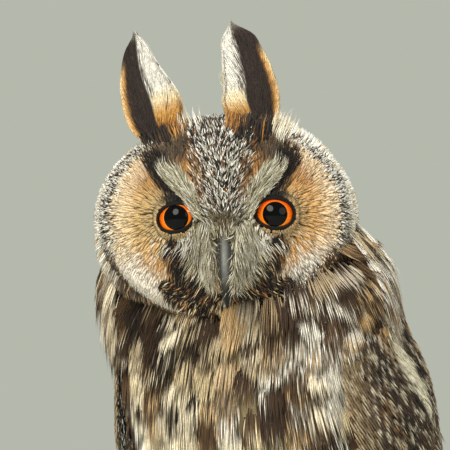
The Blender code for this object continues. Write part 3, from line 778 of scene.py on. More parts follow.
def rise(count, rows, foot, tip, draw, power=0.9, wander=0.25):
    """Heights along each barb from foot to tip in millimetres, with a little unevenness."""
    tips = (tip * (1 + wander * draw.normal(size=count)))[:, None]
    return foot + (tips - foot) * steps(rows) ** power


def plumes(lines, widths, barbs, rows, draw, spread_from=0.2, loose=0.06):
    """Splits feathers into barbs that leave the shaft and end along the feather's outline.

    lines are the shafts as (feather, ring, 2). Returns each barb's places, its sideways
    distances, its place across its feather from -1 to 1, its feather's number, and its reach.
    """
    count, given, _ = lines.shape
    feather = np.repeat(np.arange(count), barbs)
    across = np.tile(np.linspace(-1, 1, barbs), count)
    across = across + draw.normal(size=len(across)) * 0.5 / barbs
    start = draw.uniform(0, 0.3, size=len(across))
    end = 1 - 0.3 * np.abs(across) ** 2.2 + draw.normal(size=len(across)) * loose
    t = start[:, None] + (end - start)[:, None] * steps(rows)
    at = np.clip(t, 0, 1.1) * (given - 1)
    low = np.clip(at.astype(int), 0, given - 2)
    share = (at - low)[..., None]
    places = lines[feather[:, None], low] * (1 - share) + lines[feather[:, None], low + 1] * share
    fan = spread_from + (1 - spread_from) * ease(t, 0, 0.6)
    sideways = across[:, None] * widths[feather][:, None] / 2 * fan
    sideways = sideways + draw.normal(size=(len(across), 1)) * 0.2 * t
    return places, sideways, across, feather, t


VANE_THICKNESS = 0.35
VANE_COLUMNS = 8


def add_vanes(name, lines, normals, half_widths, tilts, tones, marks, node, camber=0.6):
    """Adds a piece of stiff feathers. lines and normals are (feather, row, 3).

    half_widths and tilts, how much each feather leans sideways, are (feather, row). Each feather
    gets its own strip of the map.
    """
    count, rows, _ = lines.shape
    across, rings, faces_up, faces = vane_template(VANE_COLUMNS, rows - 1)
    sideways = unit(np.cross(np.gradient(lines, axis=1), normals))
    offset = across[None, :] * half_widths[:, rings]
    lift = tilts[:, rings] * offset + camber * (1 - across**2) + VANE_THICKNESS * faces_up
    points = lines[:, rings, :] + (sideways[:, rings, :] * offset[..., None] * MM)
    points = points + normals[:, rings, :] * (lift * MM)[..., None]
    data = repeated(name, points, faces)
    size = len(rings)
    set_tones(data, np.repeat(tones, size, 0))
    set_tones(data, np.repeat(marks, size, 0), "marking")
    corners = corner_points(data)
    t = np.tile(rings / (rows - 1), count)[corners]
    u = np.tile(across, count)[corners]
    number = np.repeat(np.arange(count), size)[corners]
    set_map(data, "vane", u / 2 + 0.5, t + number * 1.03)
    strip = 1 / (2 * count)
    left = (2 * number + np.tile(faces_up, count)[corners]) * strip
    set_map(data, "OFBake", left + strip * (0.08 + 0.84 * (u / 2 + 0.5)), 0.01 + 0.98 * t)
    add_piece(name, data, stiff_plumage, "plumage", node)


# Plumage colours

WHITE = colour(226, 221, 210)
PALE_GREY = colour(178, 174, 160)
CREAM = colour(222, 204, 166)
BUFF = colour(197, 162, 112)
RUFOUS = colour(172, 104, 48)
BROWN = colour(104, 78, 54)
DARK = colour(62, 46, 35)
BLACK = colour(28, 22, 19)

# Palettes as the share of the barbs and their colour.
BROW_TONES = (
    (0.30, colour(206, 201, 180)),
    (0.26, colour(168, 161, 134)),
    (0.26, colour(112, 103, 78)),
    (0.18, colour(238, 235, 222)),
)
BRISTLE_TONES = (
    (0.28, colour(206, 200, 178)),
    (0.24, colour(166, 158, 130)),
    (0.32, colour(88, 79, 58)),
    (0.16, colour(240, 236, 222)),
)
BILL_SIDE_TONES = ((0.35, colour(150, 142, 114)), (0.2, colour(206, 200, 182)), (0.45, colour(78, 65, 48)))
GAPE_TONES = ((0.62, BLACK * 0.8), (0.18, DARK), (0.12, colour(150, 104, 58)), (0.08, CREAM))
CHIN_TONES = ((0.50, BLACK * 0.8), (0.20, colour(190, 138, 80)), (0.16, CREAM), (0.14, DARK))
BROW_SHADOW_TONES = ((0.85, BLACK), (0.15, DARK))
UNDER_EYE_TONES = ((0.6, WHITE), (0.4, colour(190, 188, 178)))
WISP_TONES = ((0.7, colour(240, 234, 222)), (0.3, CREAM))
TUFT_FOOT_TONES = ((0.72, BLACK), (0.20, DARK), (0.08, colour(150, 104, 50)))
TUFT_EDGE_TONES = (
    (0.45, colour(176, 122, 58)),
    (0.25, colour(128, 84, 40)),
    (0.2, colour(206, 152, 84)),
    (0.1, BLACK),
)
FOREHEAD_TONES = (
    (0.32, BLACK),
    (0.12, DARK),
    (0.30, colour(240, 236, 226)),
    (0.18, PALE_GREY),
    (0.08, colour(120, 78, 40)),
)
TOE_TONES = ((0.45, colour(206, 178, 132)), (0.35, CREAM), (0.2, colour(176, 142, 98)))
FRINGE_TONES = ((0.68, colour(250, 245, 236)), (0.2, CREAM), (0.06, PALE_GREY), (0.06, BUFF))
COLLAR_TONES = ((0.35, CREAM), (0.25, BUFF), (0.2, colour(140, 112, 76)), (0.2, WHITE))
BREAST_TONES = ((0.4, colour(238, 226, 200)), (0.3, colour(240, 236, 226)), (0.3, CREAM))
BACK_TONES = ((0.4, colour(150, 120, 82)), (0.3, BUFF), (0.2, colour(132, 118, 96)), (0.1, CREAM))
BACK_DARK_TONES = ((0.6, colour(58, 44, 34)), (0.4, colour(80, 62, 46)))
BACK_EDGE_TONES = ((0.5, BUFF), (0.3, colour(160, 150, 130)), (0.2, CREAM))
NAPE_TONES = ((0.5, BUFF), (0.3, colour(170, 132, 84)), (0.2, CREAM))
NAPE_DARK_TONES = ((0.7, colour(66, 50, 38)), (0.3, colour(92, 70, 50)))
LEG_TONES = ((0.5, colour(206, 174, 124)), (0.3, CREAM), (0.2, BUFF))
LEG_DARK_TONES = ((1.0, colour(120, 92, 62)),)
NECK_PLUME_TONES = ((0.65, colour(246, 242, 232)), (0.25, CREAM), (0.10, colour(190, 170, 136)))
COVERT_DARK_TONES = ((0.6, colour(62, 48, 40)), (0.2, colour(150, 118, 80)), (0.2, colour(96, 76, 58)))
COVERT_BUFF_TONES = ((0.4, colour(206, 164, 108)), (0.3, colour(176, 146, 108)), (0.3, colour(84, 64, 48)))
COVERT_EDGE_TONES = ((0.3, colour(196, 158, 108)), (0.3, colour(150, 138, 116)), (0.4, colour(84, 66, 52)))
FLANK_TONES = ((0.3, colour(160, 132, 96)), (0.3, colour(132, 88, 46)), (0.2, DARK), (0.2, WHITE))

# Markings of the face, in millimetres outwards from its middle line and upwards

FACE_MIDDLE = -1.0
EYE_PLACE = (18.6, 0.3)
BROW = ((18.4, 17.0), (15.2, 13.0), (11.8, 8.0), (10.0, 4.0), (8.9, 0.5), (7.6, -4.5))
BROW_WIDTHS = (3.5, 3.6, 2.8, 2.2, 2.0, 1.8)
BROW_SHADOW = ((25.0, 21.0), (22.2, 14.6), (17.8, 9.0), (14.5, 4.8), (12.4, 0.6))
BROW_SHADOW_WIDTHS = (4.2, 3.1, 3.2, 2.8, 2.0)
BRISTLES = ((7.4, -4.5), (8.8, -10.5), (8.2, -15.5), (6.6, -20.0), (5.0, -24.0))
BRISTLE_WIDTHS = (3.8, 5.2, 4.8, 3.2, 1.6)
BILL_SIDE = ((2.8, -4.0), (2.9, -11.0), (3.3, -17.0), (3.8, -22.0))
BILL_SIDE_WIDTHS = (2.6, 2.0, 1.4, 1.0)
GAPE = ((20.5, -9.5), (16.4, -15.0), (13.4, -21.3), (10.0, -26.2), (4.6, -31.4))
GAPE_WIDTHS = (2.2, 3.8, 4.0, 3.4, 3.0)
CHIN = ((22.5, -26.0), (15.8, -30.2), (8.5, -34.3), (3.0, -38.0))
CHIN_WIDTHS = (2.6, 4.6, 5.0, 3.6)
EAR_FOOT = ((12.5, 30.0), (18.5, 26.0), (25.0, 21.5))
EAR_FOOT_WIDTHS = (4.6, 5.6, 4.6)
UNDER_EYE = ((11.0, -6.0), (15.5, -8.8), (20.0, -9.0))
UNDER_EYE_WIDTHS = (2.2, 1.7, 0.9)


def forehead_width(z):
    return np.interp(z, (-4.6, -3.6, -2, 1, 5, 14, 26, 40), (0, 3.5, 6, 7.4, 7.7, 8.8, 10.5, 16))


def disc_reach(x, z):
    """How far out on the face a place is: 1 at the edge of the disc, more outside it."""
    radius = np.hypot(x / HEAD_HALF_WIDTH, (z - HEAD_DROP) / HEAD_HALF_HEIGHT)
    up = np.abs(z - HEAD_DROP) / HEAD_HALF_HEIGHT / np.maximum(radius, 1e-3)
    skew = 0.06 * ease(-z, 6, 20) * np.clip(-x / 20, -1, 1)
    return radius / (0.82 + 0.10 * up**1.5 + skew)


def face_flow(x, z):
    side = np.where(x < FACE_MIDDLE, -1, 1)
    out = np.abs(x - FACE_MIDDLE)
    way = unit(np.stack([out - EYE_PLACE[0], z - EYE_PLACE[1]], 1))
    way[:, 1] -= 0.12

    def towards(first, second, share):
        return mix(way, unit(np.stack([first + 0 * out, second + 0 * out], 1)), share)

    brow_up, brow_out = np.array(BROW[::-1])[:, ::-1].T
    fan = 0.22 + 0.035 * z + 0.11 * (out - np.interp(z, brow_up, brow_out))
    low = ease(-z, 13, 24)
    bristle = 0.9 * ease(out, 9, 15) * (1 - ease(-z, 9, 16)) - 0.75 * low
    bristle -= 0.6 * (1 - ease(out, 2.5, 6.5)) * (1 - ease(-z, 8, 13))
    way = towards(0.03 * out, 1.0, stroke(out, z, ((0, 0), (0, 40)), (9, 14), 0.2))
    way = towards(fan, 1.0, stroke(out, z, BROW, BROW_WIDTHS, 0.4))
    way = towards(bristle, -1.0, stroke(out, z, BRISTLES, BRISTLE_WIDTHS))
    way = towards(0.55, -0.8, stroke(out, z, GAPE, GAPE_WIDTHS))
    way = towards(out + 1, z + 16, stroke(out, z, CHIN, CHIN_WIDTHS))
    way[:, 0] *= side
    return way


def face_tones(x, z, draw):
    """The colour of the face's plumage at each place, with every barb a little different."""
    count = len(x)
    x = x + draw.normal(size=count) * 0.4
    z = z + draw.normal(size=count) * 0.4
    out = np.abs(x - FACE_MIDDLE)
    spot = np.stack([x, z], 1)
    reach = disc_reach(x, z)
    from_eye = np.hypot(out - EYE_PLACE[0], z - EYE_PLACE[1])
    chance = draw.uniform(size=count)

    tone = mix(colour(206, 172, 116), colour(184, 136, 76), ease(z, 2, 20))
    # Painted shade: the side of the face at positive x, away from the light, is painted a deeper orange.
    tone = mix(tone, colour(196, 142, 86), 0.5 * ease(x, -6, 14))
    cheek = ease(-z, 6, 18) * ease(out, 10, 22) * (1 - ease(reach, 0.8, 0.95))
    tone = mix(tone, colour(202, 150, 92), 0.7 * cheek)
    tone = mix(tone, colour(178, 156, 118), 0.75 * bump(from_eye - 9.0, 4.2))
    tone = tone * (1 + 0.07 * ripple(spot, 3, 4))[:, None]
    tone = mix(tone, colour(150, 108, 68), 0.6 * stroke(out, z, ((21, 22), (33, 15)), (7, 3), 0.6))
    tone = mix(tone, colour(236, 216, 184), 0.7 * ease(reach, 0.8, 0.98))
    low_rim = ease(-z, 10, 20) * ease(reach, 0.7, 0.92)
    tone = mix(tone, colour(240, 234, 224), 0.85 * low_rim)
    tone = mix(tone, WHITE, 0.5 * (chance < 0.28) * ease(-z, 4, 12))

    dark_foot = stroke(out, z, EAR_FOOT, EAR_FOOT_WIDTHS, 0.5)
    dusky = mix(colour(84, 64, 44), colour(34, 27, 22), ease(chance, 0.15, 0.5))
    tone = mix(tone, dusky, 0.92 * dark_foot)
    shadow = stroke(out, z, BROW_SHADOW, BROW_SHADOW_WIDTHS, 0.35)
    tone = mix(tone, mix(BLACK, BROWN, 0.6 * ease(chance, 0.8, 0.9)), shadow)

    wedge_edge = forehead_width(z)
    in_wedge = (out < wedge_edge) & (z > -4.6)
    flecks = pick(draw, count, FOREHEAD_TONES)
    flecks = mix(flecks, BLACK, 0.8 * (draw.uniform(size=count) < 0.45 * (1 - ease(z, -2, 7))))
    flank = (out > wedge_edge - 2.4) & (out < wedge_edge + 2.2) & (z > 6) & (z < 24)
    flank_tones = pick(draw, count, FLANK_TONES)
    tone = np.where(in_wedge[:, None], flecks, tone)
    tone = np.where(flank[:, None], flank_tones, tone)

    tone = mix(tone, colour(104, 92, 66), 0.9 * stroke(out, z, ((0, -4), (0, -9)), (5.5, 3.0), 0.3))
    grey = pick(draw, count, BROW_TONES)
    tone = mix(tone, grey, stroke(out, z, BROW, BROW_WIDTHS, 0.18))
    tone = mix(tone, mix(grey, WHITE, 0.6 + 0 * out), stroke(out, z, UNDER_EYE, UNDER_EYE_WIDTHS, 0.3))
    bristle = stroke(out, z, BRISTLES, BRISTLE_WIDTHS, 0.18)
    tone = mix(tone, pick(draw, count, BRISTLE_TONES) * 0.8, bristle)
    tone = mix(tone, pick(draw, count, GAPE_TONES), stroke(out, z, GAPE, GAPE_WIDTHS, 0.35))
    tone = mix(tone, pick(draw, count, CHIN_TONES), stroke(out, z, CHIN, CHIN_WIDTHS, 0.25))

    low = ease(-z, 9, 17)
    band = pick(draw, count, ((0.30, BLACK), (0.12, BROWN), (0.42, WHITE), (0.16, PALE_GREY)))
    band = mix(band, pick(draw, count, ((0.6, DARK), (0.3, BROWN), (0.1, BUFF))), low)
    tone = mix(tone, band, ease(reach, 0.99, 1.03) * (1 - in_wedge) * (1 - dark_foot))
    edge = mix(colour(244, 238, 226), BROWN, low)
    return mix(tone, edge, 0.9 * ease(reach, 1.12, 1.17) * (1 - in_wedge))


def shaded(tones, t, draw, dark_root=0.55, wander=0.12):
    """Barb colours along each barb: darker at the root, as a painted shade where other barbs cover it, and
    each barb lighter or darker as a whole.
    """
    whole = np.exp(draw.normal(size=len(tones)) * wander)[:, None]
    # The darker root is painted shade; whole is each barb's own random tone.
    light = (dark_root + (1 - dark_root) * ease(t, 0, 0.5)) * whole
    return tones[:, None, :] * light[..., None]


# Materials


def new_material(name):
    finish = bpy.data.materials.new(name)
    finish.use_nodes = True
    return finish, finish.node_tree


def add_node(tree, kind, inputs=None, **settings):
    made = tree.nodes.new(kind)
    for key, value in settings.items():
        setattr(made, key, value)
    for key, value in (inputs or {}).items():
        if isinstance(value, bpy.types.NodeSocket):
            tree.links.new(value, made.inputs[key])
        else:
            made.inputs[key].default_value = value
    return made


def attribute(tree, name):
    return add_node(tree, "ShaderNodeAttribute", attribute_name=name).outputs["Color"]


def object_place(tree, scale=(1, 1, 1)):
    place = add_node(tree, "ShaderNodeTexCoord").outputs["Object"]
    return add_node(tree, "ShaderNodeMapping", {"Vector": place, "Scale": scale}).outputs["Vector"]


def noise(tree, vector, scale, detail=3.0, roughness=0.55, distortion=0.0):
    inputs = {"Vector": vector, "Scale": scale, "Detail": detail, "Roughness": roughness}
    inputs["Distortion"] = distortion
    return add_node(tree, "ShaderNodeTexNoise", inputs).outputs["Fac"]


def ranged(tree, value, low, high, first, last):
    inputs = {"Value": value, "From Min": low, "From Max": high, "To Min": first, "To Max": last}
    return add_node(tree, "ShaderNodeMapRange", inputs).outputs["Result"]


def mixed(tree, first, second, share, blend_type="MIX"):
    made = add_node(tree, "ShaderNodeMix", data_type="RGBA", blend_type=blend_type)
    for socket, value in ((made.inputs[0], share), (made.inputs[6], first), (made.inputs[7], second)):
        if isinstance(value, bpy.types.NodeSocket):
            tree.links.new(value, socket)
        elif isinstance(value, (int, float)):
            socket.default_value = value
        else:
            socket.default_value = (*value, 1)
    return made.outputs[2]


def worked(tree, operation, first, second=0.0):
    return add_node(tree, "ShaderNodeMath", {0: first, 1: second}, operation=operation).outputs[0]


def times(tree, first, second):
    return worked(tree, "MULTIPLY", first, second)


def plus(tree, first, second):
    return worked(tree, "ADD", first, second)


def darkened(tree, tone, share):
    return mixed(tree, tone, share, 1.0, "MULTIPLY")


def set_shader(tree, tone, height=None, strength=0.0, distance=0.0, **settings):
    """Sets the shader's colour, its bumps and its other inputs, named with _ in place of a space."""
    shader = tree.nodes["Principled BSDF"]
    settings["Base_Color"] = tone
    if height is not None:
        inputs = {"Height": height, "Strength": strength, "Distance": distance}
        settings["Normal"] = add_node(tree, "ShaderNodeBump", inputs).outputs["Normal"]
    for key, value in settings.items():
        if isinstance(value, bpy.types.NodeSocket):
            tree.links.new(value, shader.inputs[key.replace("_", " ")])
        else:
            shader.inputs[key.replace("_", " ")].default_value = value


def plumage_material():
    finish, tree = new_material("soft_plumage")
    place = object_place(tree)
    fine = ranged(tree, noise(tree, place, 1400, 2), 0.3, 0.7, 0.78, 1.18)
    tone = darkened(tree, attribute(tree, "plumage"), fine)
    settings = {"Roughness": 0.82, "Specular_IOR_Level": 0.15, "Sheen_Weight": 0.06}
    set_shader(tree, tone, noise(tree, place, 2600, 2), 0.25, 0.0003, Sheen_Roughness=0.5, **settings)
    return finish


BARS_EACH = 6.0
RIBS_EACH = 130


def vane_material():
    """Stiff feathers: bars across, fine wavy lines between them, a dark shaft and ribbed barbs."""
    finish, tree = new_material("barred_feathers")
    place = add_node(tree, "ShaderNodeUVMap", uv_map="vane").outputs["UV"]
    parts = add_node(tree, "ShaderNodeSeparateXYZ", {"Vector": place})
    across = worked(tree, "ABSOLUTE", worked(tree, "SUBTRACT", parts.outputs["X"], 0.5))
    along = plus(tree, parts.outputs["Y"], times(tree, across, -0.12))
    along = plus(tree, along, times(tree, noise(tree, object_place(tree), 160, 3), 0.09))
    bars = worked(tree, "SINE", times(tree, along, 2 * math.pi * BARS_EACH))
    bars = ranged(tree, bars, 0.1, 0.55, 0.0, 1.0)
    stretched = object_place(tree, (1.0, 1.0, 2.2))
    wavy = ranged(tree, noise(tree, stretched, 620, 4, 0.7, 1.2), 0.5, 0.58, 0.0, 0.75)
    shaft = ranged(tree, across, 0.012, 0.035, 1.0, 0.0)
    share = worked(tree, "MAXIMUM", worked(tree, "MAXIMUM", bars, wavy), shaft)
    tone = mixed(tree, attribute(tree, "plumage"), attribute(tree, "marking"), share)
    ribs = plus(tree, times(tree, across, 1.2), parts.outputs["Y"])
    ribs = worked(tree, "SINE", times(tree, ribs, 2 * math.pi * RIBS_EACH))
    tone = darkened(tree, tone, ranged(tree, ribs, -1, 1, 0.82, 1.08))
    set_shader(tree, tone, ribs, 0.3, 0.0002, Roughness=0.7, Specular_IOR_Level=0.3, Sheen_Weight=0.05)
    return finish


IRIS_MAP = 20.0


def eye_material():
    """The iris, by the distance in millimetres from the eye's middle on its own map."""
    finish, tree = new_material("eye_amber")
    place = add_node(tree, "ShaderNodeUVMap", uv_map="iris").outputs["UV"]
    parts = add_node(tree, "ShaderNodeSeparateXYZ", {"Vector": place})
    x, z = (times(tree, worked(tree, "SUBTRACT", parts.outputs[way], 0.5), IRIS_MAP) for way in "XY")
    squared = plus(tree, worked(tree, "POWER", x, 2.0), worked(tree, "POWER", z, 2.0))
    radius = worked(tree, "SQRT", squared)
    turned = {"X": worked(tree, "ARCTAN2", z, x), "Y": times(tree, radius, 0.12)}
    turned = add_node(tree, "ShaderNodeCombineXYZ", turned).outputs["Vector"]
    fibres = ranged(tree, noise(tree, turned, 9, 4, 0.6), 0.3, 0.7, 0.72, 1.25)
    warm = mixed(tree, colour(240, 118, 18), colour(202, 58, 10), ranged(tree, z, -3.0, 5.0, 0.0, 1.0))
    tone = darkened(tree, warm, fibres)
    rings = (
        (colour(120, 24, 4), 6.2, 7.0, 0.8),
        (colour(255, 170, 40), 5.5, 4.8, 0.35),
        (colour(3, 3, 4), 4.85, 4.7, 1.0),
        (colour(14, 11, 11), 6.9, 7.2, 1.0),
    )
    for ring, start, end, most in rings:
        tone = mixed(tree, tone, ring, ranged(tree, radius, start, end, 0.0, most))
    settings = {"Coat_Weight": 1.0, "Coat_IOR": 1.22, "Coat_Roughness": 0.02}
    set_shader(tree, tone, Roughness=0.4, Specular_IOR_Level=0.0, **settings)
    return finish


def skin_like(name, roughness, scale, light=0.7, dark=1.2, coat=0.0):
    """A finish coloured by the piece's own attribute, with a mottled grain of the given scale."""
    finish, tree = new_material(name)
    grain = noise(tree, object_place(tree), scale, 4, 0.6)
    tone = darkened(tree, attribute(tree, "plumage"), ranged(tree, grain, 0.3, 0.7, light, dark))
    settings = {"Specular_IOR_Level": 0.22, "Coat_Weight": coat, "Coat_Roughness": 0.15}
    set_shader(tree, tone, grain, 0.5, 0.0002, Roughness=roughness, **settings)
    return finish


def bark_material():
    finish, tree = new_material("branch_bark")
    stretched = object_place(tree, (0.35, 1, 1))
    coarse = noise(tree, stretched, 230, 6, 0.65, 0.6)
    cells = {"Vector": stretched, "Scale": 420}
    cracks = add_node(tree, "ShaderNodeTexVoronoi", cells, feature="DISTANCE_TO_EDGE")
    crack = ranged(tree, cracks.outputs["Distance"], 0.0, 0.12, 0.0, 1.0)
    worn = ranged(tree, coarse, 0.35, 0.68, 0.0, 1.0)
    tone = mixed(tree, colour(72, 58, 46), colour(150, 132, 110), worn)
    lichen = ranged(tree, noise(tree, object_place(tree), 90, 5, 0.7), 0.6, 0.7, 0.0, 0.6)
    tone = mixed(tree, tone, colour(150, 156, 124), lichen)
    tone = mixed(tree, colour(38, 30, 24), tone, crack)
    set_shader(tree, tone, plus(tree, times(tree, crack, 0.5), coarse), 0.8, 0.0012, Roughness=0.9)
    return finish


def base_material():
    finish, tree = new_material("base_walnut")
    broad = noise(tree, object_place(tree, (0.12, 1.0, 0.6)), 70, 4, 0.55, 1.5)
    lines = worked(tree, "FRACT", times(tree, broad, 14.0))
    pores = noise(tree, object_place(tree, (0.04, 1, 1)), 1500, 3, 0.6)
    pores = ranged(tree, pores, 0.62, 0.7, 0.0, 0.7)
    tone = mixed(tree, colour(96, 64, 42), colour(58, 38, 26), lines)
    tone = mixed(tree, tone, colour(122, 84, 56), ranged(tree, broad, 0.45, 0.7, 0.0, 0.6))
    tone = mixed(tree, tone, colour(30, 20, 14), pores)
    set_shader(tree, tone, pores, 0.25, 0.0002, Roughness=0.42, Coat_Weight=0.25, Coat_Roughness=0.2)
    return finish


def steel_material():
    finish, tree = new_material("rod_steel")
    brushed = noise(tree, object_place(tree, (1, 1, 0.02)), 2600, 2)
    streaks = ranged(tree, brushed, 0.35, 0.65, 0, 1)
    tone = mixed(tree, colour(176, 176, 178), colour(120, 121, 124), streaks)
    set_shader(tree, tone, Metallic=1.0, Roughness=ranged(tree, brushed, 0.3, 0.7, 0.22, 0.42))
    return finish


plumage = plumage_material()
stiff_plumage = vane_material()
eye_finish = eye_material()
lid_finish = skin_like("eyelid_skin", 0.75, 1800)
bill_finish = skin_like("bill_horn", 0.5, 700, 0.8, 1.15, 0.08)
claw_finish = skin_like("claw_horn", 0.3, 900, 0.7, 1.3, 0.4)
bark_finish = bark_material()
base_finish = base_material()
steel_finish = steel_material()


# Skin under the coat


def body_tone(station, degrees):
    """The general colour of the body's plumage."""
    behind = ease(np.abs(degrees), 95, 130)
    tone = mix(colour(206, 184, 142), colour(216, 196, 158), ease(station, 3, 7))
    tone = mix(tone, colour(150, 122, 88), behind * (1 - 0.5 * ease(station, 7, 9)))
    return mix(tone, colour(164, 140, 104), 0.7 * (1 - ease(station, 0.6, 2.2)) * (1 - behind))


SKIN_DEPTH = 3.2
HEAD_SKIN_DEPTH = 1.3
LEG_SKIN_DEPTH = 2.0
SKIN_VOXEL = 2.4 * MM


def deeper(surface_name, depth):
    def place(first, second):
        return raised(surface_name, first, second, np.full(len(first), -depth))[0]

    return place


def skin():
    mesh = bmesh.new()

    def torso_place(turn, step):
        station = TORSO_FOOT * step
        depth = SKIN_DEPTH + 9 * (1 - ease(station, 0.5, 1.6))
        inside = np.clip(station, 0.02, TORSO_FOOT - 0.02)
        point = raised("body", inside, turn * 360, -depth)[0]
        on_end = (step < 0.001) | (step > 0.999)
        point[on_end] = spine(station)[on_end]
        return point

    def head_place(turn, step):
        return deeper("head", HEAD_SKIN_DEPTH)(turn, np.clip(step, 0.012, 0.988))

    globe(mesh, 64, 90, torso_place)
    globe(mesh, 96, 64, head_place)
    for name, side in SIDES.items():
        surface = deeper(f"leg_{name}", LEG_SKIN_DEPTH)
        globe(mesh, 24, 20, tube_place(surface, leg_middle(side), 20))
    bmesh.ops.recalc_face_normals(mesh, faces=mesh.faces[:])
    rough = to_data("skin_rough", mesh)
    piece = new_object("skin_rough", rough)
    remesh = piece.modifiers.new("remesh", "REMESH")
    remesh.mode = "VOXEL"
    remesh.voxel_size = SKIN_VOXEL
    smooth = piece.modifiers.new("smooth", "SMOOTH")
    smooth.iterations = 4
    depsgraph = bpy.context.evaluated_depsgraph_get()
    data = bpy.data.meshes.new_from_object(piece.evaluated_get(depsgraph))
    bpy.data.objects.remove(piece)
    bpy.data.meshes.remove(rough)
    data.name = "skin"
    smooth_faces(data)
    set_tones(data, skin_tones(vertex_places(data)))
    set_skin_map(data)
    add_piece("skin", data, plumage, "plumage", "head", "neck", "torso", "leg_left", "leg_right")


def skin_tones(points):
    """Colours of the skin's places, taken from the nearest places of the head and the body and darkened as
    painted shade, since the skin shows only in the gaps between the feathers.
    """
    draw = np.random.default_rng(3)
    heads = scatter("head", (0, 1), (0.02, 0.98), 9000, draw)
    trunk = scatter("body", (0, TORSO_FOOT), (-180, 180), 9000, draw)
    known = np.concatenate([head_surface(*heads.T), body_surface(*trunk.T)])
    face = face_tones(*head_to_face(*heads.T), draw)
    face[heads[:, 1] > FACE_SHARE - 0.02] = colour(170, 142, 104)
    # Painted shade: the face's colours a little darker, the body's at half their brightness.
    tones = np.concatenate([face * 0.92, body_tone(*trunk.T) * 0.5])
    return tones[nearest(known, points)]


# Feathers of the face and head


def leaning(sideways):
    """Ways up the face or a tuft that lean sideways by the given shares."""
    return np.stack([sideways, np.ones(len(sideways))], 1)


def spreading(share):
    """A flow down the body or a wing that turns away from the middle line."""
    return lambda station, degrees: np.stack([1 + 0 * station, share * np.sign(degrees)], 1)


def eye_clear(x, z, gap):
    out = np.abs(x - FACE_MIDDLE)
    return np.hypot(out - EYE_PLACE[0], (z - EYE_PLACE[1]) * 1.15) > gap


def face_disc():
    draw = np.random.default_rng(11)
    keep = lambda x, z: (disc_reach(x, z) < 1.1) & eye_clear(x, z, 6.9)
    roots = scatter("face", (-50, 50), (-40, 37), 9400, draw, keep)
    x, z = roots.T
    out = np.abs(x - FACE_MIDDLE)
    short = 1 - 0.45 * bump(np.hypot(out - EYE_PLACE[0], z) - 7, 5)
    length = 6.4 * short * draw.uniform(0.75, 1.25, size=len(x))
    length *= (1 - 0.3 * stroke(out, z, CHIN, CHIN_WIDTHS)) * (1 - 0.55 * ease(disc_reach(x, z), 0.9, 1.02))
    places = lay("face", roots, face_flow, length, 4)
    places = places + draw.normal(size=(len(x), 1, 2)) * 0.25 * steps(4)[..., None]
    heights = rise(len(x), 4, -0.4, 0.3 + 0.25 * draw.uniform(size=len(x)), draw)
    near_eye = bump(np.hypot(out - EYE_PLACE[0], z - EYE_PLACE[1]) - 7, 3)
    heights = heights + (0.9 * near_eye)[:, None]
    tones = shaded(face_tones(*places[:, 2].T, draw), steps(4), draw, 0.96, 0.04)
    for ring in range(4):
        here = places[:, ring].T
        tones[:, ring] = mix(tones[:, ring], face_tones(*here, draw), ease(disc_reach(*here), 0.82, 0.96))
    widths = draw.uniform(1.0, 1.4, size=len(x))
    add_barbs("face_disc", "face", places, heights, widths, tones, ("head",), crest=0.16)


def forehead():
    draw = np.random.default_rng(12)

    def keep(x, z):
        out = np.abs(x - FACE_MIDDLE)
        return (out < forehead_width(z) + 1.5) & (z > -4.5)

    roots = scatter("face", (-18, 16), (-5, 37), 4200, draw, keep)
    length = draw.uniform(2.2, 3.8, size=len(roots))
    places = lay("face", roots, lambda x, z: leaning(0.045 * (x - FACE_MIDDLE)), length, 4)
    places[:, :, 0] += draw.normal(size=(len(roots), 1)) * 1.1 * steps(4)
    heights = rise(len(roots), 4, -0.4, 1.7, draw)
    tones = shaded(face_tones(*places[:, 1].T, draw), steps(4), draw, 0.75)
    dark_tip = (draw.uniform(size=len(roots)) < 0.3)[:, None] * ease(steps(4), 0.55, 0.8)
    tones = mix(tones, BLACK, dark_tip)
    widths = draw.uniform(0.5, 0.85, size=len(roots))
    add_barbs("forehead", "face", places, heights, widths, tones, ("head",))


def face_lock(name, seed, line, widths, count, length, height, palette, width, shift=1.0, **more):
    """Long soft barbs along a line on one or both sides of the face: brows, bristles and wisps.

    more may name the surface, the side (1 or -1), the flow, and tipped, the share of the barbs
    that end in black.
    """
    draw = np.random.default_rng(seed)
    surface, side = more.get("surface", "face"), more.get("side", 0)
    xs, zs = zip(*line)
    reach = max(widths)

    def keep(x, z):
        out = np.abs(x - FACE_MIDDLE)
        here = (x - FACE_MIDDLE) * side >= 0
        return here & (stroke(out, z, line, widths, 0.05) > 0.5) & eye_clear(x, z, 7.5)

    span = max(xs) + reach + 1
    roots = scatter(surface, (-span, span), (min(zs) - reach, max(zs) + reach), count, draw, keep)
    roots[:, 1] += shift
    rows = 6
    lengths = length * draw.uniform(0.7, 1.3, size=len(roots))
    places = lay(surface, roots, more.get("flow", face_flow), lengths, rows)
    t = steps(rows)
    sway = draw.normal(size=(len(roots), 1)) * 0.7 * t**1.5
    sway = sway + draw.normal(size=(len(roots), 1)) * 0.3 * np.sin(3 * t)
    heights = rise(len(roots), rows, -0.3, height, draw)
    tones = shaded(pick(draw, len(roots), palette), t, draw, 0.65)
    tip = (draw.uniform(size=len(roots)) < more.get("tipped", 0.0))[:, None] * ease(t, 0.4, 0.6)
    tones = mix(tones, BLACK, tip)
    add_barbs(name, surface, places, heights, np.full(len(roots), width), tones, ("head",), sway)


def laid_back(turn, step):
    """Ways back over the head, which turn downwards at the sides of the face."""
    angle = 2 * np.pi * turn
    return leaning(-0.8 * np.cos(angle) * ease(-np.sin(angle), -0.2, 0.5))


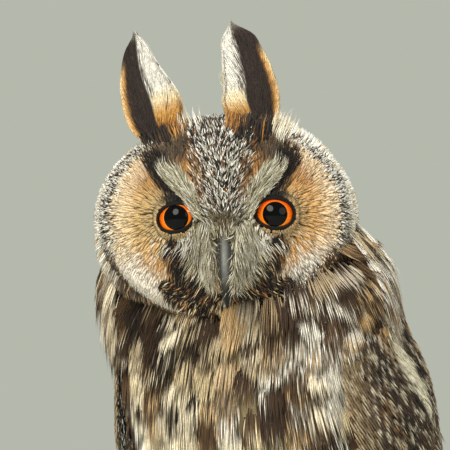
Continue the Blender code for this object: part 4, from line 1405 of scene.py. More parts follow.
def ruff(name, seed, span, count, length, heights, palette, width, sway=0.5, fluff=0.0):
    """Barbs round the edge of the face. fluff lifts those of the right cheek and left temple."""
    draw = np.random.default_rng(seed)
    roots = scatter("head", (0, 1), span, count, draw)
    lengths = length * draw.uniform(0.7, 1.25, size=len(roots))
    places = lay("head", roots, laid_back, lengths, 4)
    t = steps(4)
    side, up = np.cos(2 * np.pi * roots[:, :1]), np.sin(2 * np.pi * roots[:, :1])
    lift = fluff * ease(-up, 0.0, 0.42) * (1 - ease(-up, 0.6, 0.85)) * (side < 0)
    lift = lift + 0.5 * fluff * ease(up, 0.5, 0.75) * ease(side, 0.25, 0.4)
    foot, tip = heights
    raise_by = foot + (tip * draw.uniform(0.7, 1.3, size=(len(roots), 1)) - foot + lift) * t
    tones = shaded(palette(draw, roots), t, draw, 0.8)
    moved = draw.normal(size=(len(roots), 1)) * sway * t
    widths = width * draw.uniform(0.75, 1.25, size=len(roots))
    add_barbs(name, "head", places, raise_by, widths, tones, ("head",), moved)


def band_palette(draw, roots):
    return face_tones(*head_to_face(*roots.T), draw)


def fringe_palette(draw, roots):
    turn = roots[:, 0]
    pale = pick(draw, len(turn), FRINGE_TONES)
    dark = pick(draw, len(turn), ((0.58, DARK), (0.24, BROWN), (0.18, BUFF)))
    low = ease(-np.sin(2 * np.pi * turn), 0.3, 0.6)
    return mix(pale, dark, 0.95 * low * (draw.uniform(size=len(turn)) < 0.92))


def collar_palette(draw, roots):
    warm = pick(draw, len(roots), COLLAR_TONES)
    dusky = mix(DARK, BROWN, draw.uniform(size=len(roots)))
    return mix(warm, dusky, ease(ripple(roots * (150, 30), 4.5, 17), -0.2, 0.35))


# Feathers of the body

FLECK = colour(206, 200, 186)


def feather_tones(draw, across, t, feather, colours, bars, speckle, flecks, soft):
    """Barb colours inside each feather.

    colours are the ground, the dark, the streak's share of the width, and the edge or None. There
    is a dark streak along the shaft, whose edges are soft, with pale edges to the feather, cross
    bars, dark specks and pale flecks.
    """
    ground, dark, streak, edge = colours
    wide = streak[feather][:, None] * (0.6 + 0.7 * np.sin(np.pi * np.clip(t * 0.95, 0, 1)))
    away = np.abs(across)[:, None]
    share = (1 - ease(away, wide - soft, wide + soft)) * ease(t, 0.02, 0.2)
    if bars:
        phase = draw.uniform(0, 1, size=streak.shape)[feather][:, None]
        waves = np.sin(2 * np.pi * (t * 3.2 + phase + 0.25 * away))
        share = np.maximum(share, bars * ease(waves, 0.45, 0.85))
    if speckle:
        share = np.maximum(share, speckle * (draw.uniform(size=t.shape) < 0.33))
    full = np.ones(t.shape)[..., None]
    ground = ground[feather][:, None, :] * full
    if edge is not None:
        ground = mix(ground, edge[feather][:, None, :] * full, ease(away, 0.45, 0.9) * ease(t, 0.2, 0.6))
    tones = mix(ground, dark[feather][:, None, :] * full, share)
    if flecks:
        chosen = draw.uniform(size=t.shape) < flecks * ease(t, 0.3, 0.6)
        tones = np.where(chosen[..., None], FLECK, tones)
    # A painted shade darkens each feather towards its root, where the feathers above cover it; each feather
    # is also a little lighter or darker at random.
    light = np.exp(draw.normal(size=(len(feather), 1)) * 0.06) * (0.6 + 0.4 * ease(t, 0.1, 0.5))
    return tones * light[..., None]


def at_roots(size, roots):
    """A size for each root, from a plain number or from a function of the roots."""
    return size(roots) if callable(size) else np.full(len(roots), float(size))


def coat(
    name, surface_name, seed, spans, count, barbs, length, width, foot, tip, colours, nodes=("torso",),
    keep=None, flow=spreading(0.0), sink=0.0, barb_width=0.75, columns=0.0, bars=0.0, speckle=0.0,
    flecks=0.0, soft=0.14, rows=4, loose=0.06, spread_from=0.2,
):
    """Adds a piece of soft feathers, each made of barbs, over a part of a surface.

    Feathers rise from foot to tip, and sink is how much deeper their roots start. colours is a
    palette for feather_tones, or a Pattern, which paints across the feathers.
    """
    draw = np.random.default_rng(seed)
    roots = scatter(surface_name, spans[0], spans[1], count, draw, keep)
    if columns:
        lines = np.round(roots[:, 1] / columns) + draw.normal(size=len(roots)) * 0.16
        roots[:, 1] = lines * columns
    lengths = at_roots(length, roots) * draw.uniform(0.85, 1.15, size=len(roots))
    widths = at_roots(width, roots) * draw.uniform(0.85, 1.15, size=len(roots))
    shafts = lay(surface_name, roots, flow, lengths, 6)
    places, sideways, across, feather, t = plumes(shafts, widths, barbs, rows, draw, spread_from, loose)
    layer = draw.uniform(-0.5, 0.5, size=len(roots))[feather][:, None]
    tips = (at_roots(tip, roots) * draw.uniform(0.8, 1.2, size=len(roots)))[feather][:, None]
    heights = foot + layer + (tips - foot) * np.clip(t, 0, 1.1) ** 0.8 - 0.7 * across[:, None] ** 2
    heights = heights - at_roots(sink, roots)[feather][:, None] * (1 - ease(t, 0.2, 0.9))
    if isinstance(colours, Pattern):
        tones = colours.tones(places, draw)
        # A painted shade darkens each barb towards its root, where the feathers above cover it.
        tones = tones * (0.72 + 0.28 * ease(t, 0.05, 0.4))[..., None]
    else:
        palette = colours(draw, roots)
        tones = feather_tones(draw, across, t, feather, palette, bars, speckle, flecks, soft)
    widths = barb_width * draw.uniform(0.8, 1.25, size=len(feather))
    add_barbs(name, surface_name, places, heights, widths, tones, nodes, sideways)


def chin_station(degrees):
    """Where the neck's feathers start below the lower edge of the face."""
    return np.interp(degrees, (-90, -60, -10, 10, 40, 60, 80), (0.3, 0.5, 0.66, 0.66, 0.5, 0.3, 0.08))


class Pattern:
    """Painted feathers over the body, each with a dark streak that runs down its middle."""

    ACROSS = 0.93
    DOWN = 8.5
    STREAKS = ((0.5, colour(62, 45, 32)), (0.25, colour(88, 66, 45)), (0.25, colour(42, 32, 25)))

    def __init__(self, seed, apart, down):
        draw = np.random.default_rng(seed)
        columns, rows = int(350 / apart), int(100 / down)
        x, y = np.meshgrid((np.arange(columns) + 0.5) * apart - 175, (np.arange(rows) + 0.5) * down)
        x = x + (np.arange(rows) % 2)[:, None] * apart / 2
        self.seeds = np.stack([x.ravel(), y.ravel()], 1)
        self.seeds = self.seeds + draw.normal(size=self.seeds.shape) * (0.16 * apart, 0.22 * down)
        self.down = down
        count = len(self.seeds)
        station, degrees = self.seeds[:, 1] / self.DOWN, self.seeds[:, 0] / self.ACROSS
        blotch = ripple(self.seeds, 9.0, 91) + 0.5 * draw.normal(size=count)
        upper = 1 - ease(station, 1.3, 2.6)
        under_rim = 1 - ease(station - chin_station(degrees), 0.3, 1.0)
        self.streak = 1.0 + 1.2 * ease(blotch, -0.5, 0.8) + 0.3 * upper + 0.5 * under_rim
        self.streak[draw.uniform(size=count) < 0.2] *= 0.25
        pale = pick(draw, count, BREAST_TONES)
        ochre = mix(colour(206, 162, 100), colour(176, 140, 92), draw.uniform(size=count))
        ground = mix(pale, ochre, 0.75 * (draw.uniform(size=count) < 0.24))
        dusky = 0.75 * np.maximum(0.55 * upper, under_rim) * (draw.uniform(size=count) < 0.7)
        ground = mix(ground, colour(132, 106, 70), dusky)
        self.ground = mix(ground, colour(150, 122, 86), 0.8 * ease(np.abs(degrees), 100, 125))
        self.dark = pick(draw, count, self.STREAKS)

    def tones(self, places, draw):
        """Colours at places, (barb, row, 2) in station and degrees."""
        count, rows, _ = places.shape
        across = places[..., 1] * self.ACROSS + draw.normal(size=(count, 1)) * 0.4
        along = places[..., 0] * self.DOWN + draw.normal(size=(count, 1)) * 0.8
        here = np.stack([across.ravel(), along.ravel(), np.zeros(across.size)], 1)
        near = nearest(np.pad(self.seeds, ((0, 0), (0, 1))), here).reshape(count, rows)
        away = np.abs(across - self.seeds[near, 0])
        t = (along - self.seeds[near, 1]) / self.down + 0.5
        wide = self.streak[near] * ease(t, -0.15, 0.3) * (1 - 0.75 * ease(t, 0.65, 1.15))
        share = 1 - ease(away, wide - 0.4, wide + 0.5)
        tones = mix(self.ground[near], self.dark[near], share)
        light = np.exp(draw.normal(size=(count, 1)) * 0.07) * (1 + 0.08 * ease(away, 1.0, 3.5))
        return tones * light[..., None]


def streaked(ground, dark, streak, spread, edge=None):
    """Colours for feathers with a streak of about the given share of their width."""

    def colours(draw, roots):
        count = len(roots)
        grounds, darks = pick(draw, count, ground), pick(draw, count, dark)
        edges = None if edge is None else pick(draw, count, edge)
        return grounds, darks, streak * draw.uniform(*spread, size=count), edges

    return colours


def wisp_colours(draw, roots):
    count = len(roots)
    ground = pick(draw, count, NECK_PLUME_TONES)
    dark = pick(draw, count, ((0.6, BROWN), (0.4, colour(130, 104, 76))))
    inside = 1 - ease(roots[:, 1], 90, 106)
    behind = ease(roots[:, 1] + 9 * draw.normal(size=count), 112, 132)
    below = 0.7 * ease(roots[:, 0] + 0.3 * draw.normal(size=count), 0.5, 1.1)
    edge = np.maximum(behind, below)
    ground = mix(ground, colour(158, 130, 94), 0.85 * edge)
    streak = 0.12 + 0.3 * np.maximum(inside, edge)
    return ground, dark, streak * draw.uniform(0.0, 1.3, size=count), None


def covert_colours(draw, roots):
    """Dark brown wing feathers at the front, with more buff ones further round and down."""
    station, degrees = roots.T
    count = len(roots)
    warm = ease(np.abs(degrees), 72, 88) * ease(station, 2.0, 2.9)
    dusky = pick(draw, count, COVERT_DARK_TONES)
    buff = pick(draw, count, COVERT_BUFF_TONES)
    dark = pick(draw, count, ((0.7, colour(44, 34, 31)), (0.3, colour(62, 48, 38))))
    edge = pick(draw, count, COVERT_EDGE_TONES)
    return mix(dusky, buff, warm), dark, 0.42 * draw.uniform(0.5, 1.5, size=count), edge


def scapular_colours(draw, roots):
    ground, dark, streak, edge = covert_colours(draw, roots)
    pale_line = ((1.0, 4.35), (2.0, 4.7), (3.2, 5.3), (4.2, 6.4))
    pale = stroke(roots[:, 0], np.abs(roots[:, 1]) / 20, pale_line, (0.22, 0.3, 0.3, 0.2), 0.3)
    return mix(ground, colour(236, 224, 194), pale), dark, streak * (1 - 0.85 * pale), mix(edge, WHITE, pale)


def trunk():
    breast = Pattern(95, 5.6, 7.0)
    back_colours = streaked(BACK_TONES, BACK_DARK_TONES, 0.42, (0.6, 1.4), BACK_EDGE_TONES)
    leg_colours = streaked(LEG_TONES, LEG_DARK_TONES, 0.16, (0.2, 1.5))

    def outward(station, degrees):
        return spreading(0.10 * ease(np.abs(degrees), 10, 60))(station, degrees)

    def below_chin(roots):
        return 3.0 * (1 - ease(roots[:, 0] - chin_station(roots[:, 1]), 0.1, 0.8))

    coat(
        "upper_breast", "body", 21, ((0.05, 2.9), (-125, 125)), 480, 18, width=10, foot=-3.0,
        length=lambda roots: 15 + 6 * ease(roots[:, 0], 1.0, 2.5),
        tip=lambda roots: 1.7 + 1.0 * ease(roots[:, 0], 0.8, 2.4),
        keep=lambda station, degrees: station > chin_station(degrees),
        colours=breast, nodes=("neck", "torso"), flow=outward, sink=below_chin,
        spread_from=0.7, columns=9.0, barb_width=0.7, loose=0.08,
    )
    coat(
        "lower_breast", "body", 22, ((2.4, 5.6), (-100, 100)), 400, 19, 21, 11.5, -1.5, 3.0, breast,
        flow=outward, columns=10.0, barb_width=0.74, loose=0.08,
    )
    for name, span, tip, colours in (
        ("left", (90, 132), 2.2, wisp_colours),
        ("right", (-84, -50), 4.2, breast),
    ):
        coat(
            f"neck_plumes_{name}", "body", 28 + SIDES[name], ((0.04, 1.2), span), 50, 14, 23, 7, -1.0,
            tip, colours, nodes=("neck",), flow=outward, barb_width=0.6, soft=0.3, loose=0.12,
        )
    coat(
        "belly", "body", 23, ((5.2, 9.2), (-180, 180)), 260, 12, 24, 9, -1.5, 2.6, breast,
        keep=lambda station, degrees: (np.abs(degrees) < 105) | (station > 6.6),
        columns=12.0, loose=0.1,
    )
    coat(
        "mantle", "body", 24, ((0.05, 6.8), (98, 262)), 420, 12, 24, 12, -1.5,
        tip=lambda roots: 1.6 + 1.0 * ease(roots[:, 0], 1.2, 2.4),
        keep=lambda station, degrees: (np.abs(degrees - 180) < 52) | (station < 1.9),
        colours=back_colours, bars=0.5, speckle=0.35, flecks=0.12,
    )
    for name, side in SIDES.items():
        coat(
            f"leg_feathers_{name}", f"leg_{name}", 25 + side, ((0.0, 0.96), (-180, 180)), 130, 10, 11,
            6, -1.0, 1.8, leg_colours, nodes=(f"leg_{name}",), barb_width=0.7,
        )


# Locks of the face: name, seed, line, widths, count, length, height, tones, barb width and shift.
FACE_LOCKS = (
    ("brows", 31, BROW, BROW_WIDTHS, 1500, 6.6, 2.2, BROW_TONES, 0.36, -2.8),
    ("brow_shadows", 32, BROW_SHADOW, BROW_SHADOW_WIDTHS, 620, 5.0, 1.5, BROW_SHADOW_TONES, 0.42, -0.6),
    ("bristles", 33, BRISTLES, BRISTLE_WIDTHS, 1900, 7.2, 1.7, BRISTLE_TONES, 0.38, 1.0),
    ("bill_bristles", 39, BILL_SIDE, BILL_SIDE_WIDTHS, 520, 7.0, 1.1, BILL_SIDE_TONES, 0.38, 1.0),
    ("gape_bristles", 34, GAPE, GAPE_WIDTHS, 900, 7.5, 1.8, GAPE_TONES, 0.42, 1.0),
    ("chin_specks", 40, CHIN, CHIN_WIDTHS, 1100, 3.6, 2.4, CHIN_TONES, 0.6, 1.0),
    ("eye_wisps", 35, UNDER_EYE, UNDER_EYE_WIDTHS, 150, 8.0, 2.0, UNDER_EYE_TONES, 0.36, 1.0),
)
# Locks at the feet of the ear tufts: side, lean, and the lines of the dark and the warm one.
TUFT_FEET = (
    ("left", 0.1, ((8.0, 28.0), (12.5, 28.5), (17.0, 29.5)), ((3.2, 31.5), (6.2, 30.0))),
    ("right", -0.28, ((20.0, 28.0), (24.0, 28.0), (28.5, 28.5)), ((13.5, 30.5), (17.0, 29.5))),
)


def head_coat():
    face_disc()
    forehead()
    for lock in FACE_LOCKS:
        surface = "muzzle" if lock[0] in ("bristles", "bill_bristles") else "face"
        face_lock(*lock, surface=surface, tipped=0.5 if lock[0] == "chin_specks" else 0.0)
    for name, lean, dark_line, warm_line in TUFT_FEET:
        more = {"side": SIDES[name], "flow": lambda x, z, lean=lean: leaning(lean + 0 * x)}
        dark = (dark_line, (3.0, 3.6, 2.8), 420, 10.0, 3.4, TUFT_FOOT_TONES, 0.6)
        warm = (warm_line, (2.2, 2.4), 200, 9.0, 3.0, TUFT_EDGE_TONES, 0.5)
        face_lock(f"tuft_foot_{name}", 41, *dark, **more)
        face_lock(f"tuft_edge_{name}", 45, *warm, **more)
    crown = (((8, 33), (15, 31.5)), (1.8, 1.8), 50, 4.0, 5.5, WISP_TONES, 0.3)
    temple = (((21, 30), (24.5, 28)), (2.4, 2.4), 260, 4.5, 6.0, WISP_TONES, 0.42)
    face_lock("crown_wisps", 43, *crown, side=-1)
    face_lock("temple_plumes", 44, *temple, side=1)
    ruff("face_rim", 36, (0.31, 0.47), 5200, 2.8, (-0.6, 0.8), band_palette, 0.75)
    fringe = (3600, 6.5, (-0.8, 1.0), fringe_palette, 0.7)
    ruff("face_fringe", 37, (0.44, 0.62), *fringe, sway=0.6, fluff=3.6)
    collar = (2400, 13.0, (-0.8, 1.6), collar_palette, 0.75)
    ruff("nape_collar", 46, (0.56, 0.72), *collar, sway=1.0)

    def backwards(turn, step):
        angle = 2 * np.pi * turn
        down = np.stack([-np.cos(angle), np.sin(angle)], 1)
        return mix(laid_back(turn, step), down, ease(step, 0.62, 0.8))

    nape_colours = streaked(NAPE_TONES, NAPE_DARK_TONES, 0.36, (0.6, 1.4))
    coat(
        "crown_and_nape", "head", 38, ((-0.25, 0.75), (0.57, 0.98)), 480, 11, 15, 7.5, -1.2, 2.2,
        nape_colours, nodes=("head",), flow=backwards, speckle=0.12,
    )


# Ear tufts


def tuft_tones(name, share, height, draw):
    """Colours of an ear tuft: its dark stripe, white inner web and orange edges and foot."""
    count = len(share)
    chance = draw.uniform(size=count)
    start, end = (-0.06, 0.80) if name == "right" else (-0.22, 0.78)
    start = start - 0.2 * ease(height, 0.8, 1.0)
    start = start + 0.26 * (1 - ease(height, 0.05, 0.35)) * (name == "left")
    inner = mix(colour(230, 228, 220), colour(238, 224, 188), ease(-height, -0.5, -0.38))
    inner = mix(inner, colour(212, 162, 88), ease(-height, -0.4, -0.26))
    inner = mix(inner, colour(168, 104, 38), 0.85 * ease(-height, -0.26, -0.10))
    inner = mix(inner, colour(104, 62, 26), 0.7 * (chance > 0.8) * ease(-height, -0.36, -0.22))
    by_stripe = bump(share - start + 0.1, 0.14 if name == "left" else 0.1) * ease(height, 0.36, 0.5)
    grey = (chance < 0.05 + 0.75 * by_stripe) & (height > 0.3)
    inner = np.where(grey[:, None], colour(104, 96, 90), inner)
    dark = mix(colour(44, 34, 31), colour(64, 48, 39), ease(chance, 0.7, 0.95))
    outer = mix(colour(206, 152, 82), colour(236, 212, 166), ease(share, 0.9, 0.98))
    outer = mix(outer, dark, ease(height, 0.66, 0.8))
    tone = mix(inner, dark, ease(share, start - 0.05, start + 0.05))
    tone = mix(tone, outer, ease(share, end - 0.05, end + 0.08))
    tone = mix(tone, colour(150, 144, 136), 0.7 * ease(height, 0.93, 0.99))
    foot = pick(draw, count, ((0.6, BLACK), (0.25, DARK), (0.15, RUFOUS)))
    return mix(tone, foot, ease(-height, -0.10, -0.02) * 0.9)


def tuft_flow(share, height):
    return leaning(0.16 * np.sign(share - 0.2) * ease(np.abs(share - 0.2), 0, 0.8) * 3)


def ear_tuft(name):
    draw = np.random.default_rng(51 + SIDES[name])
    mesh = bmesh.new()
    front, back = tuft_surface(name, 1, -0.2), tuft_surface(name, -1, -0.2)

    def core_place(turn, step):
        share = np.cos(2 * np.pi * turn) * 0.96
        height = -0.09 + 1.05 * np.clip(step, 0.001, 0.999)
        ahead = (np.sin(2 * np.pi * turn) > 0)[:, None]
        return np.where(ahead, front(share, height), back(share, height))

    def core_tones(points):
        samples = scatter(f"tuft_front_{name}", (-1, 1), (-0.05, 1), 3000, draw)
        near = samples[nearest(front(*samples.T), points)]
        # Painted shade: the core shows only between the barbs, so it has the tuft's colours darkened.
        return tuft_tones(name, *near.T, draw) * 0.8

    node = f"ear_tuft_{name}"
    globe(mesh, 32, 40, core_place)
    add_solid(f"ear_tuft_core_{name}", mesh, core_tones, plumage, "tuft", node)
    for face, count in (("front", 2300), ("back", 1300)):
        surface_name = f"tuft_{face}_{name}"
        roots = scatter(surface_name, (-0.97, 0.97), (-0.06, 0.93), count, draw)
        lengths = draw.uniform(6, 11, size=len(roots)) * (1 - 0.5 * ease(roots[:, 1], 0.75, 0.95))
        places = lay(surface_name, roots, tuft_flow, lengths, 4)
        places[:, :, 0] = np.clip(places[:, :, 0], -1.12, 1.04)
        heights = -0.2 + (0.6 * draw.uniform(0.6, 1.4, size=(len(roots), 1)) + 0.2) * steps(4)
        tones = np.stack([tuft_tones(name, *places[:, ring].T, draw) for ring in range(4)], 1)
        if face == "back":
            tones = tones * 0.6 + colour(120, 88, 58) * 0.4
        tones = tones * np.exp(draw.normal(size=(len(roots), 1, 1)) * 0.06)
        widths = draw.uniform(0.42, 0.7, size=len(roots)) * (1.4 if face == "back" else 1.0)
        piece = f"ear_tuft_{face}_{name}"
        add_barbs(piece, surface_name, places, heights, widths, tones, (node,), slot="tuft")
    tuft_comb(name, draw)


def tuft_comb(name, draw):
    """The fine separate barbs that stand out from a tuft's inner edge."""
    surface_name = f"tuft_front_{name}"
    count, low, high, longest = (34, 0.34, 0.64, 5.0) if name == "left" else (14, 0.38, 0.52, 1.5)
    height = np.linspace(low, high, count) + draw.normal(size=count) * 0.004
    roots = np.stack([np.full(count, -0.86), height], 1)
    reach = 2.6 + longest * bump(height - 0.46, 0.1)
    places = lay(surface_name, roots, lambda share, up: leaning(-0.75 + 0 * share), reach, 5)
    tones = shaded(np.tile(colour(226, 212, 176), (count, 1)), steps(5), draw, 0.9)
    shape = (np.zeros((count, 5)), np.full(count, 0.26))
    nodes = (f"ear_tuft_{name}",)
    add_barbs(f"ear_tuft_comb_{name}", surface_name, places, *shape, tones, nodes, slot="tuft")


# Wings and tail

# Rows of stiff wing feathers: how many, the first and last feather's root and tip as a station
# and degrees round the body, their width, and how far root and tip stand off the bed.
WING_ROWS = {
    "primaries": (9, (5.1, 78), (5.7, 114), (11.7, 106), (9.7, 166), 11.5, 2.3, 2.6),
    "secondaries": (10, (4.9, 90), (5.2, 160), (8.7, 126), (8.5, 173), 16, 3.6, 7.0),
    "greater_coverts": (13, (4, 66), (4, 162), (6.5, 82), (6.3, 172), 14, 3.7, 9.0),
    "median_coverts": (12, (2.9, 64), (2.9, 146), (4.9, 72), (4.9, 160), 15, 3.4, 8.6),
}
# The ground and the marks of each row's feathers.
WING_TONES = {
    "primaries": (colour(196, 156, 102), colour(78, 60, 46)),
    "secondaries": (colour(164, 136, 100), colour(80, 64, 52)),
    "greater_coverts": (colour(154, 130, 100), colour(76, 60, 48)),
    "median_coverts": (colour(146, 122, 92), colour(72, 57, 46)),
}
TAIL_PAIRS = 6
TAIL_ROOT = 7.0
TAIL_LENGTH = 125
TAIL_FEATHER_WIDTH = 17


def feather_outline(t, root=0.5, tip=0.12):
    narrow = 1 - (1 - tip) * np.clip((t - 0.6) / 0.4, 0, 1) ** 2.4
    return (root + (1 - root) * ease(t, 0, 0.35)) * narrow


def wing_vanes(side, row):
    count, first_root, last_root, first_tip, last_tip, width, lift_root, lift_tip = WING_ROWS[row]
    root = np.linspace(first_root, last_root, count)
    tip = np.linspace(first_tip, last_tip, count)
    t = steps(15)
    station = root[:, :1] + (tip[:, :1] - root[:, :1]) * t
    degrees = root[:, 1:] + (tip[:, 1:] - root[:, 1:]) * t - 3 * np.sin(np.pi * t)
    lift = lift_root + (lift_tip - lift_root) * ease(t, 0, 0.8) + 0 * station
    line, normal = raised("wing", station.ravel(), side * degrees.ravel(), lift.ravel())
    line, normal = line.reshape(count, 15, 3), normal.reshape(count, 15, 3)
    spacing = np.linalg.norm(np.diff(line, axis=0), axis=2) / MM
    spacing = np.concatenate([spacing, spacing[-1:]])
    slope = -side * np.minimum(1.1 / np.maximum(spacing, 0.5), 0.5)
    half = width / 2 * feather_outline(t) * np.ones((count, 1))
    return line, normal, half, slope


def wing(name, side):
    draw = np.random.default_rng(61 + side)
    mesh = bmesh.new()
    node = f"wing_{name}"

    def core_place(turn, step):
        station = 1.8 + 4.2 * np.clip(step, 0.001, 0.999)
        middle = 112 + 16 * ease(station, 3, 6)
        half = (54 - 18 * ease(station, 3.2, 6.0)) * np.sqrt(np.clip(1 - (2 * step - 1) ** 6, 0.0004, 1))
        degrees = middle + half * np.cos(2 * np.pi * turn)
        lift = -1.0 + (2.6 + 2.6 * np.sin(2 * np.pi * turn)) * ease(station, 1.7, 2.8)
        return raised("wing", station, side * degrees, lift)[0]

    def core_tones(points):
        # Painted shade: the core shows only between the feathers, so its browns are darkened further.
        return mix(DARK, BROWN, ease(ripple(points / MM, 3, 7), -0.5, 0.8)) * 0.8

    globe(mesh, 48, 60, core_place)
    add_solid(f"wing_core_{name}", mesh, core_tones, plumage, "plumage", node)
    for row, (ground, mark) in WING_TONES.items():
        shape = wing_vanes(side, row)
        tones = ground * np.exp(draw.normal(size=(len(shape[0]), 1)) * 0.1)
        marks = mark * np.exp(draw.normal(size=(len(shape[0]), 1)) * 0.15)
        add_vanes(f"{row}_{name}", *shape, tones, marks, node)
    coat(
        f"lesser_coverts_{name}", "wing", 63 + side, ((1.55, 3.7), mirrored((60, 150), side)), 150, 12,
        16, 10, 0.5, lambda roots: 1.6 + 7.4 * ease(roots[:, 0], 1.5, 2.9), covert_colours,
        nodes=(node,), flow=spreading(0.25), barb_width=0.95, bars=0.4, speckle=0.75, flecks=0.16,
        rows=5, loose=0.03,
    )
    wing_flecks(name, side, draw)
    coat(
        f"scapulars_{name}", "wing", 66 + side, ((1.1, 4.6), mirrored((86, 174), side)), 140, 12,
        26, 12, 0.5, lambda roots: 1.6 + 8.6 * ease(roots[:, 0], 1.2, 2.7), scapular_colours,
        nodes=(node,), flow=spreading(0.2), barb_width=0.95, bars=0.3, speckle=0.35, flecks=0.1,
        rows=5, loose=0.03,
    )


def wing_paint(places, draw):
    """Fine wavy pale lines on dark brown, with buff streaks and a pale patch by the shoulder."""
    station, degrees = places[..., 0].ravel(), np.abs(places[..., 1].ravel())
    spot = np.stack([degrees * 0.93, station * 17], 1)
    count = len(spot)
    chance = draw.uniform(size=places.shape[0]).repeat(places.shape[1])
    tone = mix(colour(70, 54, 43), colour(44, 35, 31), ease(ripple(spot, 3.0, 11), -0.4, 0.5))
    buff = ease(ripple(spot * (1, 0.4), 4.0, 12) + 0.6 * (chance - 0.5), -0.3, 0.1)
    tone = mix(tone, mix(colour(206, 158, 94), colour(160, 120, 76), chance), 0.85 * buff)
    lines = ripple(spot * (1, 0.75), 0.75, 13) + 0.3 * draw.normal(size=count)
    pale = mix(colour(140, 128, 106), colour(224, 214, 192), chance)
    tone = mix(tone, pale, 0.9 * ease(lines, 0.2, 0.5) * (1 - 0.6 * buff))
    tone = mix(tone, colour(56, 43, 35), 0.85 * ease(-lines, 0.05, 0.35) * buff)
    patch = ((1.5, 4.55), (2.1, 4.75), (2.9, 5.1))
    patch = stroke(station, degrees / 20, patch, (0.1, 0.2, 0.14), 0.4)
    tone = mix(tone, colour(232, 224, 202), 0.9 * patch)
    edge = mix(colour(196, 172, 130), colour(120, 96, 68), chance)
    tone = mix(tone, edge, 0.6 * (1 - ease(degrees, 62, 72)))
    return tone.reshape(*places.shape[:2], 3)


def wing_flecks(name, side, draw):
    """A layer of short barbs over the front of the wing, for its fine pattern."""
    roots = scatter("wing", (1.5, 5.0), mirrored((58, 118), side), 3200, draw)
    places = lay("wing", roots, spreading(0.25), draw.uniform(4.0, 7.0, size=len(roots)), 4)
    heights = 1.0 + 7.6 * ease(places[..., 0], 1.5, 3.0)
    heights = heights + (0.3 + 1.0 * draw.uniform(size=(len(roots), 1))) * steps(4)
    widths = draw.uniform(0.7, 1.05, size=len(roots))
    tones = wing_paint(places, draw)
    add_barbs(f"wing_flecks_{name}", "wing", places, heights, widths, tones, (f"wing_{name}",))


def tail():
    draw = np.random.default_rng(71)
    start = spine(np.array([TAIL_ROOT]))[0]
    down = unit(spine(np.array([12.0]))[0] - start)
    back = np.array([0, -down[2], down[1]])
    t = np.linspace(0, 1, 21)
    lines, halves = [], []
    for pair in range(TAIL_PAIRS):
        for side in (-1, 1):
            out = max(0, pair - 1) / (TAIL_PAIRS - 2)
            layer = 0.5 * (1 + side) if pair == 0 else pair + 1
            length = (TAIL_LENGTH - 5 * out**2) * MM
            root_out = side * (9 + 1.5 * out if pair else 1)
            tip_out = side * (9.4 + 12 * out if pair else 1.5)
            across = (root_out + (tip_out - root_out) * t**0.8) * MM
            point = start + down * (length * t)[:, None] - back * ((0.3 + layer) * MM)
            point[:, 0] += across
            lines.append(point)
            halves.append(TAIL_FEATHER_WIDTH / 2 * feather_outline(t, tip=0.3))
    lines, halves = np.array(lines), np.array(halves)
    normals = np.broadcast_to(back, lines.shape)
    count = len(lines)
    tones = colour(178, 144, 98) * np.exp(draw.normal(size=(count, 1)) * 0.08)
    marks = colour(66, 50, 38) * np.exp(draw.normal(size=(count, 1)) * 0.1)
    flat = 0 * halves
    add_vanes("tail_feathers", lines, normals, halves, flat, tones, marks, "tail", camber=0.35)
    mesh = bmesh.new()

    def core_place(turn, step):
        along = -4 + 60 * step
        angle = 2 * np.pi * turn
        round_off = np.sqrt(np.clip(1 - (2 * step - 1) ** 4, 0.0001, 1))
        wide = (15.5 + 2 * step) * round_off * np.cos(angle)
        high = (7.0 - 3.9 * step) * round_off * np.sin(angle)
        point = start + down * (along * MM)[:, None] + back * ((high - 4.2) * MM)[:, None]
        point[:, 0] += wide * MM
        return point

    globe(mesh, 40, 30, core_place)
    # Painted shade: the root shows only between the tail feathers, so it is a darkened buff.
    add_solid("tail_root", mesh, BUFF * 0.7, plumage, "plumage", "tail")


# Eyes, bill and claws

# Each eye's opening: how far it reaches outwards, up, inwards and down, and how it tilts.
LIDS = {"left": (7.4, 5.7, 7.0, 4.7, -8 * DEGREE), "right": (7.6, 4.8, 6.3, 4.6, -14 * DEGREE)}
LID_WIDTH = 0.9
LID_REACH = 8.4


def lid_opening(name, angle):
    """The edge of an eye's opening, in millimetres outwards and up from the middle of the eye."""
    outer, upper, inner, lower, frown = LIDS[name]
    across, along = np.cos(angle), np.sin(angle)
    x = np.where(across > 0, outer, inner) * np.sign(across) * np.abs(across) ** 0.92
    z = np.where(along > 0, upper, lower) * np.sign(along) * np.abs(along) ** 0.92
    return x * math.cos(frown) - z * math.sin(frown), x * math.sin(frown) + z * math.cos(frown)


def eye(name, side):
    mesh = bmesh.new()

    def place(turn, step):
        polar, angle = np.pi * step, 2 * np.pi * turn
        bulge = 9.5 + 1.1 * bump(np.sin(polar) * 9.5, 5.6) * (polar < np.pi / 2)
        x, z = bulge * np.sin(polar) * np.cos(angle), bulge * np.sin(polar) * np.sin(angle)
        return np.stack([x, -bulge * np.cos(polar), z], 1)

    globe(mesh, 64, 48, place)
    data = finished(f"eye_{name}", mesh)
    points = vertex_places(data)
    x, y, z = points[corner_points(data)].T
    set_map(data, "iris", x / IRIS_MAP + 0.5, z / IRIS_MAP + 0.5)
    set_map(data, "OFBake", x / 44 + np.where(y > 0, 0.75, 0.25), z / 22 + 0.5)
    move_mesh(data, points, eye_frame(side))
    add_piece(f"eyeball_{name}", data, eye_finish, "eye", f"eye_{name}")


